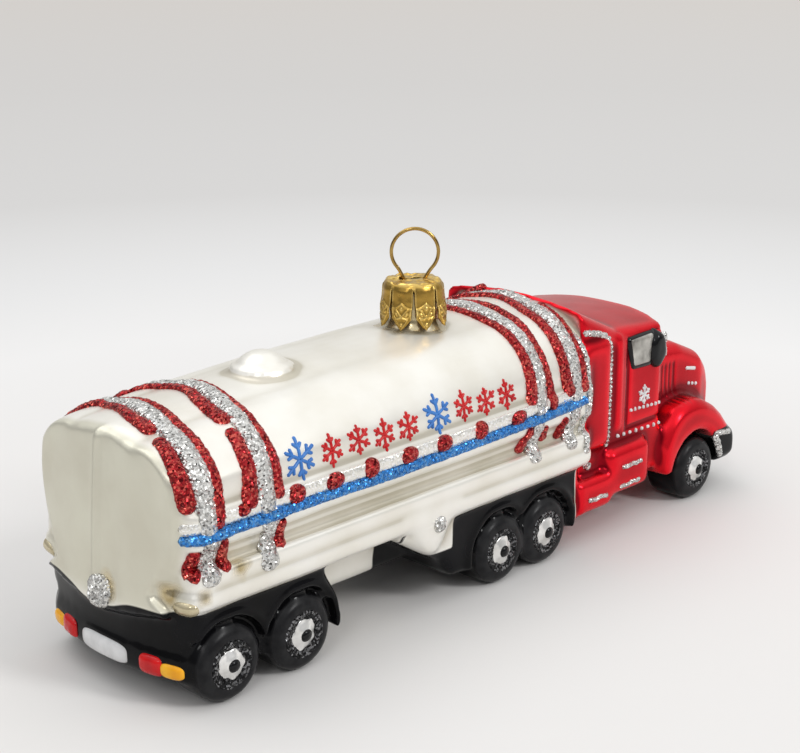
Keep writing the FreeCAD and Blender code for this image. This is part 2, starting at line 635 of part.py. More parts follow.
def hollow():
    """The room inside the glass: each main form drawn in by the wall."""
    wall = s.glass_wall
    tank_room = tank_form("tank_room", -wall, RIM_SHARES[2:], s.tank_front - wall)
    inner_half = s.well_floor - wall
    bogie_room = profile("bogie_room", oblong(s.bogie_rear + s.bar_depth, s.bogie_bottom + wall,
                                              s.bogie_top_front - wall, s.ledge_top - wall), inner_half)
    drive_room = profile("drive_room", oblong(s.drive_foot_rear + wall, s.drive_bottom + wall,
                                              s.drive_front - wall, s.ledge_top - wall), inner_half)
    well_rear = s.front_axle - s.tyre_radius - s.front_well_gap
    cab_room = profile("cab_room",
                       oblong(s.tank_front - wall * 3, s.cab_bottom + wall,
                              well_rear - wall, s.roof_brow_height - wall), s.cab_half_width - wall)
    hood_room = profile("hood_room",
                        oblong(well_rear - wall * 3, s.hood_bottom + wall,
                               s.hood_shoulder, s.hood_lip_height - wall), s.front_well_floor - wall)
    bore = doc.addObject("Part::Cylinder", "neck_bore_room")
    bind(bore, Radius=s.neck_bore, Height=neck_top() + s.overrun - s.tank_mid_height)
    place(bore, s.neck_place, zero, s.tank_mid_height)
    return fused("hollow", [tank_room, bogie_room, drive_room, cab_room, hood_room, bore])


def glass_body(barrel):
    forms = [barrel, rear_pan()] + belt_and_flange() + [manhole(), neck(), chassis()] + fins()
    forms += [front_end()] + steps() + wheels()
    return cut("glass_body", fused("glass_outside", forms), hollow())


def pleated_outline(body, radius, pleat, height):
    """A star of shallow pleats, one ridge to each leaf."""
    count = int(SIZES["cap_leaf_count"])
    points = []
    for corner in range(count * 2):
        turn = math.pi * corner / count
        reach = radius if corner % 2 else radius - pleat
        points.append((reach * math.cos(turn), reach * math.sin(turn)))
    return outline(body, "XY_Plane", points, None, height)


def cap_top():
    return neck_top() + s.cap_seat_gap + s.cap_sheet


def cap_form(name, inset, overrun):
    """The cap's pleated cup, drawn in by inset, from below its leaf tips up to its crown."""
    foot = cap_top() - s.cap_height
    top = cap_top() - inset
    return lofted(name, lambda body: [
        pleated_outline(body, s.cap_tip_radius - inset, s.cap_pleat, foot - overrun),
        pleated_outline(body, s.cap_shoulder_radius - inset, s.cap_pleat, top - s.cap_edge),
        pleated_outline(body, s.cap_shoulder_radius - s.cap_edge - inset, s.cap_pleat, top),
    ])


def crown_cap():
    """A pressed cup with pleated leaves, notched between them, and a slot for the wire."""
    tip = cap_top() - s.cap_height
    cup = cut("cap_cup", cap_form("cap_outside", zero, zero), cap_form("cap_inside", s.cap_sheet, s.overrun))
    notches = []
    count = int(SIZES["cap_leaf_count"])
    for leaf in range(count):
        notch = section(f"cap_notch_{leaf + 1}",
                        [(-s.cap_notch_half, tip - s.overrun), (s.cap_notch_half, tip - s.overrun),
                         (zero, tip + s.cap_notch_height)],
                        s.neck_radius, s.cap_tip_radius + s.overrun)
        notch.Placement = FreeCAD.Placement(V(), FreeCAD.Rotation(Z_WAY, 360 / count * leaf))
        notches.append(notch)
    slot = prism("cap_slot", "XY_Plane", oblong(-s.cap_slot_half_length, -s.cap_slot_half_width,
                                                s.cap_slot_half_length, s.cap_slot_half_width),
                 cap_top() - s.cap_sheet - s.overrun, s.cap_sheet + s.overrun * 2)
    slot.Placement = FreeCAD.Placement(V(), FreeCAD.Rotation(Z_WAY, SIZES["ring_turn"]))
    cap = cut("crown_cap", cup, fused("cap_openings", notches + [slot]))
    return place(cap, s.neck_place)


def hanger_wire():
    """A wire ring whose two ends go down through the cap's slot as legs."""
    middle = cap_top() + s.ring_rise - s.wire_radius - s.ring_radius
    ring = turned("wire_ring", oval(s.ring_radius, zero, s.wire_radius, s.wire_radius))
    ring.Placement = FreeCAD.Placement(V(), FreeCAD.Rotation(X_WAY, 90))
    place(ring, zero, zero, middle)
    legs = []
    for number, side in enumerate((1, -1), 1):
        foot = cap_top() - s.leg_length
        leg = prism(f"wire_leg_{number}", "XY_Plane",
                    oval(s.leg_spread * side, zero, s.wire_radius, s.wire_radius), foot,
                    middle - s.ring_radius + s.wire_radius * 2 - foot)
        legs.append(leg)
    wire = fused("hanger_wire", [ring] + legs)
    wire.Placement = FreeCAD.Placement(V(), FreeCAD.Rotation(Z_WAY, SIZES["ring_turn"]))
    return place(wire, s.neck_place)


def bead_run(name, x_from, x_to, height, barrel):
    """The lower end of a bead on the right-hand side, from the belt over the ledge to the flange."""
    ledge_half = s.tank_half_width + s.ledge_step
    under = -s.tank_half_width + s.tank_side_crown * 4
    bead_half = ledge_half + height
    points = [(under, s.belt_bottom), (-bead_half, s.belt_bottom), (-bead_half, s.flange_top),
              (-ledge_half, s.flange_top), (-ledge_half, s.ledge_top), (under, s.ledge_top)]
    points.reverse()
    return cut(name, section(name + "_full", points, x_from, x_to), barrel)


def bead_set(name, spans, height, seat):
    """Beads of glitter glue over the tank at each span, with their runs down both sides."""
    coat = cut(name + "_coat", tank_form(name + "_grown", height, RIM_SHARES, s.tank_front), seat)
    slices = []
    solids = []
    for number, (x_from, x_to) in enumerate(spans, 1):
        slice_box = doc.addObject("Part::Box", f"{name}_slice_{number}")
        bind(slice_box, Length=x_to - x_from, Width=s.flange_half_width * 2,
             Height=s.tank_half_height + s.overrun)
        slices.append(place(slice_box, x_from, -s.flange_half_width, s.belt_top))
        run = bead_run(f"{name}_run_{number}", x_from, x_to, height, seat)
        solids += [run, mirrored(f"{name}_run_left_{number}", run)]
    boxes = doc.addObject("Part::Compound", name + "_slices")
    boxes.Links = slices
    node = doc.addObject("Part::Compound", name)
    node.Links = [common(name + "_arches", coat, boxes)] + solids
    return node


def bands():
    seat = tank_form("band_seat", zero, RIM_SHARES, s.tank_front)
    silver, rear_red, front_red = [], [], []
    for word in BAND_PLACES:
        middle = getattr(s, word)
        rear = middle - s.silver_width / 2
        front = middle + s.silver_width / 2
        silver.append((rear, front))
        rear_red.append((rear - s.bead_gap - s.red_width, rear - s.bead_gap))
        front_red.append((front + s.bead_gap, front + s.bead_gap + s.red_width))
    return [bead_set("silver_bands", silver, s.silver_height, seat),
            bead_set("rear_red_bands", rear_red, s.red_height, seat),
            bead_set("front_red_bands", front_red, s.red_height, seat)]


def belt_trim():
    face = s.tank_half_width + s.belt_step
    stripe = slab("stripe_right", oblong(s.stripe_rear, s.stripe_bottom, s.belt_front, s.stripe_top), face,
                  face + s.stripe_height)
    strip = slab("strip_right", oblong(s.stripe_rear, s.stripe_top, s.belt_front, s.strip_top), face,
                 face + s.strip_height)
    seat = face + s.strip_height
    dots = []
    for number in range(int(SIZES["dot_count"])):
        middle = s.dot_rear + s.dot_pitch * number
        drop = oval(middle, s.dot_middle, s.dot_half_length, s.dot_half_height)
        dots.append(slab(f"dot_{number + 1}", drop, seat, seat + s.dot_depth))
    row = doc.addObject("Part::Compound", "dots_right")
    row.Links = dots
    return [both_sides("blue_stripes", stripe), both_sides("white_strips", strip),
            both_sides("red_dots", row)]


def cab_trim():
    panel_face = s.cab_half_width + s.panel_step
    rear = s.panel_rear + s.panel_round
    low = s.panel_bottom + s.panel_round
    high = s.panel_top - s.panel_round
    line = slab("cab_line_right", oblong(rear, low, rear + s.cab_line_width, high), panel_face,
                panel_face + s.cab_line_depth)
    side = s.cab_half_width
    thin = slab("panel_line_right",
                oblong(s.panel_front, low, s.panel_front + s.thin_line_width, high - s.overrun),
                side, side + s.cab_line_depth)
    frame = oblong(s.window_rear, s.window_bottom, s.window_front, s.window_top)
    pane = oblong(s.window_rear + s.window_frame, s.window_bottom + s.window_frame,
                  s.window_front - s.window_frame, s.window_top - s.window_frame)
    pane_hole = slab("pane_hole", pane, side - s.overrun, side + s.overrun)
    frames = cut("window_frame_right", slab("window_full", frame, side, side + s.window_depth), pane_hole)
    panes = slab("window_pane_right", pane, side, side + s.pane_depth)
    bracket = slab("bracket_dot_right", oval(s.bracket_dot_place, s.bracket_dot_height, s.bracket_dot_half,
                                             s.bracket_dot_half), s.fin_outer, s.fin_outer + s.dot_depth)
    return [both_sides("cab_lines", line), both_sides("panel_lines", thin),
            both_sides("window_frames", frames), both_sides("window_panes", panes),
            both_sides("bracket_dots", bracket)]


def mirrors():
    """Oval mirrors, thick lens-shaped blobs of black enamel beside the windows."""
    crown = arc_radius(s.mirror_half_length, s.mirror_half_height, s.mirror_crown)
    points = [(s.mirror_place, s.mirror_middle - s.mirror_half_height),
              (s.mirror_place + s.mirror_half_length, s.mirror_middle),
              (s.mirror_place, s.mirror_middle + s.mirror_half_height),
              (s.mirror_place - s.mirror_half_length, s.mirror_middle)]
    near = s.cab_half_width + s.window_depth
    disc = slab("mirror_right", points, near, near + s.mirror_depth,
                {0: crown, 1: crown, 2: crown, 3: crown})
    return [both_sides("mirrors", disc)]


def pan_bow_round(name, radius):
    """The leaning cylinder on which the rear pan's face lies."""
    bow = doc.addObject("Part::Cylinder", name)
    bind(bow, Radius=radius, Height=s.tank_mid_height * 2)
    bow.Placement = FreeCAD.Placement(V(), FreeCAD.Rotation(Y_WAY, SIZES["pan_lean"]))
    return place(bow, s.pan_foot + s.pan_bow)


def seam_clump():
    """A lump of glitter at the foot of the rear seam, spread on the pan's bowed face."""
    lump = oval(s.clump_side, s.clump_height, s.clump_half_width, s.clump_half_height)
    patch = section("clump_patch", lump, s.pan_foot - s.overrun * 2, s.tank_rear)
    outer = common("clump_full", patch, pan_bow_round("clump_bow", s.pan_bow + s.clump_depth))
    return cut("seam_clump", outer, pan_bow_round("clump_seat", s.pan_bow))


def bar_coat(name, depth):
    """A skin of that thickness on the rear bar's bowed face."""
    outer = tail_block(name + "_outer", s.bar_rear - depth, s.bogie_bow + depth, s.bar_rear + s.bar_depth,
                       s.bar_half_width, s.bar_bottom, s.bar_top, s.bogie_corner)
    inner = tail_block(name + "_inner", s.bar_rear, s.bogie_bow, s.bar_rear + s.bar_depth + s.overrun,
                       s.bar_half_width + s.overrun, s.bar_bottom - s.overrun, s.bar_top + s.overrun,
                       s.bogie_corner)
    return cut(name, outer, inner)


def rear_trim():
    coat = bar_coat("lamp_coat", s.lamp_depth)
    tail, reach = s.bar_rear - s.overrun, s.bar_rear + s.bar_depth
    spans = {"red_lamps": (s.lamp_inner, s.lamp_split), "amber_lamps": (s.lamp_split, s.lamp_outer)}
    lamps = []
    for name, (near, far) in spans.items():
        window = section(name + "_place", oblong(-far, s.lamp_bottom, -near, s.lamp_top), tail, reach)
        lamps.append(both_sides(name, common(name + "_right", coat, window)))
    window = section("plate_place", oblong(-s.plate_right, s.lamp_bottom, s.plate_left, s.lamp_top),
                     tail, reach)
    return lamps + [common("blank_plate", bar_coat("plate_coat", s.plate_depth), window), seam_clump()]


def check(pieces):
    doc.recompute()
    for thing in doc.Objects:
        faults = [word for word in thing.State if word in ("Invalid", "Error")]
        if faults:
            raise RuntimeError(f"{thing.Name}: {thing.State}")
    for piece in pieces:
        shape = piece.Shape
        if shape.isNull() or not shape.isValid() or not shape.Solids:
            raise RuntimeError(f"{piece.Name}: no valid solid")
        box = shape.BoundBox
        print(f"{piece.Name}: {len(shape.Solids)} solids, {shape.Volume:.1f} mm3")
        spans = ((box.XMin, box.XMax), (box.YMin, box.YMax), (box.ZMin, box.ZMax))
        print("    " + ", ".join(f"{low:.2f} to {high:.2f}" for low, high in spans))


pieces = [glass_body(tank()), crown_cap(), hanger_wire()]
pieces += bands() + belt_trim() + cab_trim() + mirrors() + rear_trim()
check(pieces)
os.makedirs("parts", exist_ok=True)
for piece in pieces:
    piece.Label = piece.Name
    piece.Shape.exportStep(f"parts/{piece.Name}.step")
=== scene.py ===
"""A blown-glass tanker truck ornament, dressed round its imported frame. Lengths are metres."""
import math
from contextlib import contextmanager

import bmesh
import bpy
import numpy as np
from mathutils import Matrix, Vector
from mathutils.bvhtree import BVHTree


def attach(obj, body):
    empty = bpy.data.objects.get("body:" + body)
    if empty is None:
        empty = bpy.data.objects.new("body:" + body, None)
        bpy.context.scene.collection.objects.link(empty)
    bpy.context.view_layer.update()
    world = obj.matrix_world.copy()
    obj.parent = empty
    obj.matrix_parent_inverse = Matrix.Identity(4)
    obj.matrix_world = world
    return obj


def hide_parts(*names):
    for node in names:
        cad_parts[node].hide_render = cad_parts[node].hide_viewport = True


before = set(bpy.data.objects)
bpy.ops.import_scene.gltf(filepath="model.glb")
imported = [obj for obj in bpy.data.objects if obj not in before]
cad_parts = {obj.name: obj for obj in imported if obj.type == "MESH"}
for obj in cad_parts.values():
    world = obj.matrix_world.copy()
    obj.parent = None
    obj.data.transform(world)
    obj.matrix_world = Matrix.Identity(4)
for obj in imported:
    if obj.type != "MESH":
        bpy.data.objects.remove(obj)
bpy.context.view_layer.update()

MM = 0.001

# Where the forms lie, in millimetres of the frame
TANK_MIDDLE = 31.75
CAB_SPLIT = 23.6
CHASSIS_SPLIT = 17.2
NECK_PLACE = -4.6
NECK_BORE = 3.6
AXLES = (-66.3, -50.9, -1.5, 11.3, 60.3)
TYRE_RADIUS = 6.7
CAP_TOP = 55.15
RING_PLACE = 60.1
RING_SHIFT = 0.3
RING_RADIUS = 4.27
WIRE_RADIUS = 0.33
WIRE_DEPTH = 12.1
NECK_FLOOR = 12.5
LEAVES = 8
HALF_LEAF = 22.5

# Where rays to the skin start: beside it, behind it and round the tank
BESIDE = 60.0
BEHIND = -100.0
MISSED_RAY = 41

# Lines round the tank count by the angle from its top as far as this turn, and from there straight down from
# that height, at this many to the millimetre
LAST_TURN = 80
LAST_TURN_HEIGHT = 35.3
TURNS_A_MM = 3.4

# The photograph's view: its place, its turn and rise in degrees, and its focal length and width in pixels
CAMERA_PLACE = (-221.36, -207.04, 126.74)
CAMERA_TURN = -45.857
CAMERA_RISE = 16.75
FOCAL_PIXELS = 1693.02
PHOTO_WIDTH = 800
SENSOR_WIDTH = 36

SLANT = math.sqrt(0.5)
HASH_PRIMES = (73856093, 19349663, 83492791, 2654435761)
HASH_MIXER = 1274126177
BOTH = (-1, 1)

# Where the pearl is worn through to the golden glass: a place and a reach
BARE_SPOTS = (((-74.8, -15.2, 19.8), 1.6), ((-77.2, -2.6, 18.2), 2.0), ((-64.4, -20.2, 22.6), 1.5),
              ((-71.4, -19.6, 19.6), 1.1), ((-10.2, -2.0, 46.6), 1.2), ((-9.0, 4.0, 46.6), 0.9))

# How finely the skin is remeshed, and how much it is softened
VOXEL = 0.52 * MM
SOFT_STEPS = 5


def grown(mesh_object, kind, **values):
    """Apply one modifier to an object's mesh."""
    modifier = mesh_object.modifiers.new(kind.lower(), kind)
    for key, value in values.items():
        setattr(modifier, key, value)
    graph = bpy.context.evaluated_depsgraph_get()
    graph.update()
    mesh = bpy.data.meshes.new_from_object(mesh_object.evaluated_get(graph))
    mesh_object.modifiers.clear()
    mesh_object.data = mesh
    return mesh_object


def vectors_of(mesh, name="co"):
    """The mesh's vertex places, or with "normal" their normals, as one array."""
    flat = np.empty(len(mesh.vertices) * 3, np.float32)
    mesh.vertices.foreach_get(name, flat)
    return flat.reshape(-1, 3).astype(float)


def keep(mesh, name, values):
    """Keep a value at each of the mesh's vertices, for its paint."""
    layer = mesh.attributes.new(name, "FLOAT", "POINT")
    layer.data.foreach_set("value", values.astype(np.float32))


@contextmanager
def reworked(mesh):
    """A mesh opened for work on its faces and edges, and written back afterwards."""
    work = bmesh.new()
    work.from_mesh(mesh)
    yield work
    work.to_mesh(mesh)
    work.free()


def columns(*values):
    """Arrays and plain numbers side by side as rows."""
    return np.stack(np.broadcast_arrays(*values), axis=1)


def circle(count):
    """That many angles evenly round a circle."""
    return np.linspace(0, 2 * math.pi, count, endpoint=False)


def run_of(points):
    """The running length along a row of points."""
    return np.concatenate([[0], np.cumsum(np.linalg.norm(np.diff(points, axis=0), axis=1))])


def soft_step(value, low, high):
    """Rise smoothly from 0 at low to 1 at high: t squared times (3 - 2t)."""
    t = np.clip((value - low) / (high - low), 0, 1)
    return t * t * (3 - 2 * t)


def between(value, low, full, last, high):
    """Rise smoothly from 0 at low to 1 at full, and fall from 1 at last to 0 at high."""
    return soft_step(value, low, full) * (1 - soft_step(value, last, high))


def bell(value, middle, half):
    """A bell of height 1 about middle: e to the minus (distance over half) squared."""
    return np.exp(-((value - middle) / half) ** 2)


def grain(points, size, seed):
    """Smooth noise from -1 to 1: random values at the corners of a grid of that size, mixed in between."""
    scaled = points / size + seed * 17.3
    base = np.floor(scaled).astype(np.int64)
    part = scaled - base
    part = part * part * (3 - 2 * part)
    total = np.zeros(len(points))
    for corner in range(8):
        step = np.array([corner & 1, corner >> 1 & 1, corner >> 2 & 1])
        cell = base + step
        terms = [value * prime for value, prime in zip((*cell.T, seed), HASH_PRIMES)]
        mixed = terms[0] ^ terms[1] ^ terms[2] ^ terms[3]
        mixed = (mixed ^ (mixed >> 13)) * HASH_MIXER
        value = ((mixed ^ (mixed >> 16)) & 0xFFFF) / 32767.5 - 1
        share = np.prod(np.where(step == 1, part, 1 - part), axis=1)
        total += value * share
    return total


def fresh_object(name, mesh):
    thing = bpy.data.objects.new(name, mesh)
    bpy.context.scene.collection.objects.link(thing)
    return thing


def mesh_from(name, points, faces):
    mesh = bpy.data.meshes.new(name)
    mesh.from_pydata([tuple(point) for point in points], [], [tuple(face) for face in faces])
    mesh.validate()
    return mesh


def finished(thing, material, body, *nodes):
    """Give a piece its finish and its body, and hide the nodes that it stands for."""
    thing.data.materials.clear()
    thing.data.materials.append(material)
    thing.data.polygons.foreach_set("use_smooth", [True] * len(thing.data.polygons))
    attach(thing, body)
    if nodes:
        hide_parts(*nodes)


def open_edges(work):
    return [edge for edge in work.edges if len(edge.link_faces) == 1]


def outer_shell():
    """The glass's outer surface, as one closed mesh whose neck is open down to a floor in its bore."""
    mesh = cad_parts["glass_body"].data.copy()

    def in_bore(vert):
        x, y, z = vert.co / MM
        return math.hypot(x - NECK_PLACE, y) < NECK_BORE + 0.05 and z > TANK_MIDDLE

    with reworked(mesh) as work:
        bmesh.ops.remove_doubles(work, verts=work.verts, dist=1e-6)
        bore = [face for face in work.faces if all(in_bore(vert) for vert in face.verts)]
        bmesh.ops.delete(work, geom=bore, context="FACES")
        reached = {max(work.verts, key=lambda v: v.co.x)}
        front = list(reached)
        while front:
            vert = front.pop()
            for edge in vert.link_edges:
                other = edge.other_vert(vert)
                if other not in reached:
                    reached.add(other)
                    front.append(other)
        bmesh.ops.delete(work, geom=[v for v in work.verts if v not in reached], context="VERTS")
        pulled = bmesh.ops.extrude_edge_only(work, edges=open_edges(work))["geom"]
        floor_verts = [item for item in pulled if isinstance(item, bmesh.types.BMVert)]
        bmesh.ops.translate(work, verts=floor_verts, vec=(0, 0, -NECK_FLOOR * MM))
        bmesh.ops.contextual_create(work, geom=open_edges(work))
        bmesh.ops.recalc_face_normals(work, faces=work.faces)
    return fresh_object("shell", mesh)


def carve(points):
    """How far each point of the skin moves along its normal: seam, creases and hand-made waves."""
    x, y, z = (points / MM).T
    push = np.zeros(len(points))
    side = np.abs(y)
    # mould seam down the middle of the rear pan, between two hollows
    rear = soft_step(-x, 72.5, 74.0) * between(z, 14, 17, 42, 44.5)
    push += rear * (0.75 * bell(y, 0.1, 0.5) - 0.55 * bell(y, -3.0, 2.6) - 0.25 * bell(y, 2.4, 2.0))
    # door panel, pillar and hood louvres
    flank = soft_step(side, 16.4, 17.0) * soft_step(x, 30, 31)
    edge = np.maximum(np.abs(x - 44.0) - 5.9, np.abs(z - 29.6) - 9.2)
    push -= flank * 0.38 * bell(edge, 0, 0.4)
    push += flank * 0.35 * bell(x, 35.4, 1.0) * between(z, 20, 22, 39, 41)
    louvre = between(x, 54.6, 55.2, 59.4, 60) * between(z, 20.6, 21.4, 28.4, 29.2)
    push -= soft_step(side, 11.5, 12.5) * louvre * 0.20 * (0.5 + 0.5 * np.cos((x - 55.2) * 2 * math.pi / 1.4))
    push += 0.10 * grain(points, 14 * MM, 3) + 0.05 * grain(points, 5 * MM, 4)
    return push * MM


def skin():
    """The outer shell remeshed into small even faces, carved and softened like blown glass."""
    shell = outer_shell()
    shell = grown(shell, "REMESH", mode="VOXEL", voxel_size=VOXEL, use_smooth_shade=True)
    shell = grown(shell, "SMOOTH", factor=0.5, iterations=SOFT_STEPS)
    x, _, z = (vectors_of(shell.data) / MM).T
    bracket = between(x, -29, -26, -15, -12) * (1 - soft_step(z, 20, 23))
    under = 0.55 * (1 - soft_step(z, 15, 17.5)) * (1 - soft_step(x, 18, 22))
    weight = np.maximum(np.maximum(bracket, under), 0.35 * soft_step(x, 22, 24))
    group = shell.vertex_groups.new(name="melted")
    for level in range(1, 11):
        chosen = np.flatnonzero(np.round(weight * 10).astype(int) == level)
        group.add(chosen.tolist(), level / 10, "REPLACE")
    shell = grown(shell, "SMOOTH", factor=0.6, iterations=32, vertex_group="melted")
    mesh = shell.data
    points = vectors_of(mesh)
    normals = vectors_of(mesh, "normal")
    points += normals * carve(points)[:, None]
    mesh.vertices.foreach_set("co", points.astype(np.float32).ravel())
    mesh.update()
    return shell


def cut_part(shell, name, planes):
    """A closed part of the shell: what lies behind each plane, given as a point and an outward direction."""
    mesh = shell.data.copy()
    with reworked(mesh) as work:
        for point, direction in planes:
            whole = work.verts[:] + work.edges[:] + work.faces[:]
            bmesh.ops.bisect_plane(work, geom=whole, plane_co=point, plane_no=direction, clear_outer=True)
            cut = open_edges(work)
            bmesh.ops.holes_fill(work, edges=cut, sides=0)
            for edge in cut:
                edge.smooth = False
    return fresh_object(name, mesh)


def pooled(points, normals, edges, rounds=14):
    """How deep each point lies below its surroundings, in millimetres: the mean of its neighbours, taken
    again and again, less the point itself, measured along the normal."""
    ends = np.concatenate([edges[:, 0], edges[:, 1]])
    others = np.concatenate([edges[:, 1], edges[:, 0]])
    count = np.maximum(np.bincount(ends, minlength=len(points)), 1)[:, None]
    mean = points.copy()
    for _ in range(rounds):
        total = np.stack([np.bincount(ends, mean[others, axis], len(points)) for axis in range(3)], axis=1)
        mean = mean / 2 + total / count / 2
    return np.sum((mean - points) * normals, axis=1) / MM


def nodes_of(name):
    """A new material of that name, with its node tree and its shader."""
    material = bpy.data.materials.new(name)
    material.use_nodes = True
    tree = material.node_tree
    return material, tree, tree.nodes["Principled BSDF"]


def plug(tree, socket, value):
    """Link a node's output to a socket, or set the socket to a plain value."""
    if isinstance(value, bpy.types.NodeSocket):
        tree.links.new(socket, value)
    else:
        socket.default_value = value


def dress(tree, node, **values):
    """Plug a node's sockets by name."""
    for key, value in values.items():
        plug(tree, node.inputs[key.replace("_", " ")], value)


def add(tree, kind, inputs=(), **values):
    """Add a node with its own settings and sockets by name, and plug what is given as (socket, value)."""
    node = tree.nodes.new("ShaderNode" + kind)
    for key, value in values.items():
        if hasattr(node, key):
            setattr(node, key, value)
        else:
            dress(tree, node, **{key: value})
    for target, value in inputs:
        plug(tree, node.inputs[target], value)
    return node


def maths(tree, operation, *terms, kind="VectorMath"):
    """The result of a maths node for terms given as (socket, value)."""
    return add(tree, kind, terms, operation=operation).outputs[0]


def place_of(tree):
    return add(tree, "TexCoord").outputs["Object"]


def ramp(tree, factor, stops):
    """A colour ramp from (position, colour) pairs."""
    node = add(tree, "ValToRGB", [(0, factor)])
    band = node.color_ramp
    band.elements[0].position, band.elements[0].color = stops[0][0], (*stops[0][1], 1)
    band.elements[1].position, band.elements[1].color = stops[-1][0], (*stops[-1][1], 1)
    for position, colour in stops[1:-1]:
        band.elements.new(position).color = (*colour, 1)
    return node.outputs["Color"]


def noise(tree, place, scale, detail):
    return add(tree, "TexNoise", Vector=place, Scale=scale, Detail=detail).outputs["Fac"]


def ranged(tree, value, **ends):
    """A value carried from one range to another."""
    return add(tree, "MapRange", Value=value, **ends).outputs[0]


def stored(tree, name):
    """A value that the mesh keeps at its vertices."""
    return add(tree, "Attribute", attribute_name=name).outputs["Fac"]


def bumps(tree, place, scale, detail, strength, height):
    """The normal of fine bumps of that height in millimetres."""
    relief = noise(tree, place, scale, detail)
    return add(tree, "Bump", Height=relief, Strength=strength, Distance=height * MM).outputs[0]


def glitter(name, base, painted_glint, painted_dark, flake, sway=1.6):
    """Glitter set in clear glue: flakes of that size in millimetres, each with its own tilt and a tone,
    brighter on some as painted sparkle and deeper on others as painted shadow.
    """
    material, tree, shader = nodes_of(name)
    cells = add(tree, "TexVoronoi", Vector=place_of(tree), Scale=1 / (flake * MM), Randomness=1.0)
    cell = cells.outputs["Color"]
    parts = add(tree, "SeparateColor", [(0, cell)])
    # painted light: some flakes are coloured brighter as sparkles and some deeper as shadow, whatever light
    # falls on them
    shade = ramp(tree, parts.outputs[0], [(0.0, painted_dark), (0.26, base), (0.68, base), (0.86, painted_glint)])
    tilt = maths(tree, "SUBTRACT", (0, cell), (1, (0.5, 0.5, 0.5)))
    lean = maths(tree, "SCALE", (0, tilt), ("Scale", sway))
    face = add(tree, "NewGeometry").outputs["Normal"]
    normal = maths(tree, "NORMALIZE", (0, maths(tree, "ADD", (0, face), (1, lean))))
    dress(tree, shader, Base_Color=shade, Metallic=0.7, Roughness=0.26, Specular_IOR_Level=0.6, Normal=normal)
    return material


def enamel(name, low, high, rough=0.12, metal=0.0):
    """Thick glossy paint with a slight unevenness."""
    material, tree, shader = nodes_of(name)
    place = place_of(tree)
    tone = ramp(tree, noise(tree, place, 300, 4), [(0.3, low), (0.7, high)])
    dress(tree, shader, Base_Color=tone, Roughness=rough, Metallic=metal, Specular_IOR_Level=0.28,
          Normal=bumps(tree, place, 900, 2, 0.4, 0.06))
    return material


def gold(name, low, high, rough, pressed=False):
    """Bright stamped brass with fine scratches; pressed sheet is painted dimmer where it isn't raised, as
    shade on its sides and hollows.
    """
    material, tree, shader = nodes_of(name)
    place = place_of(tree)
    tone = ramp(tree, noise(tree, place, 500, 5), [(0.3, low), (0.7, high)])
    if pressed:
        # painted shade: the pressed sheet is dimmed where the mesh doesn't keep it as raised
        shaded_gold = (low[0] * 0.62, low[1] * 0.59, low[2] * 0.52, 1)
        tone = layered(tree, stored(tree, "raised"), shaded_gold, tone)
    wear = ranged(tree, noise(tree, place, 900, 4), To_Min=rough - 0.08, To_Max=rough + 0.12)
    dress(tree, shader, Base_Color=tone, Metallic=1.0, Roughness=wear,
          Normal=bumps(tree, place, 1600, 3, 0.35, 0.05))
    return material


def zone(tree, name, blur=0.12):
    """0 outside a painted zone and 1 inside it, from the skin's own distance to the zone's edge."""
    return ranged(tree, stored(tree, name), From_Min=-blur, From_Max=blur)


def layered(tree, factor, below, above):
    """One colour laid over another by a factor."""
    return add(tree, "Mix", [(0, factor), (6, below), (7, above)], data_type="RGBA").outputs[2]


def stepped(tree, base, changes):
    """A value that starts at base and turns to each change's own value inside its zone."""
    last = base
    for factor, target in changes:
        last = add(tree, "Mix", [(0, factor), (2, last), (3, target)], data_type="FLOAT").outputs[0]
    return last


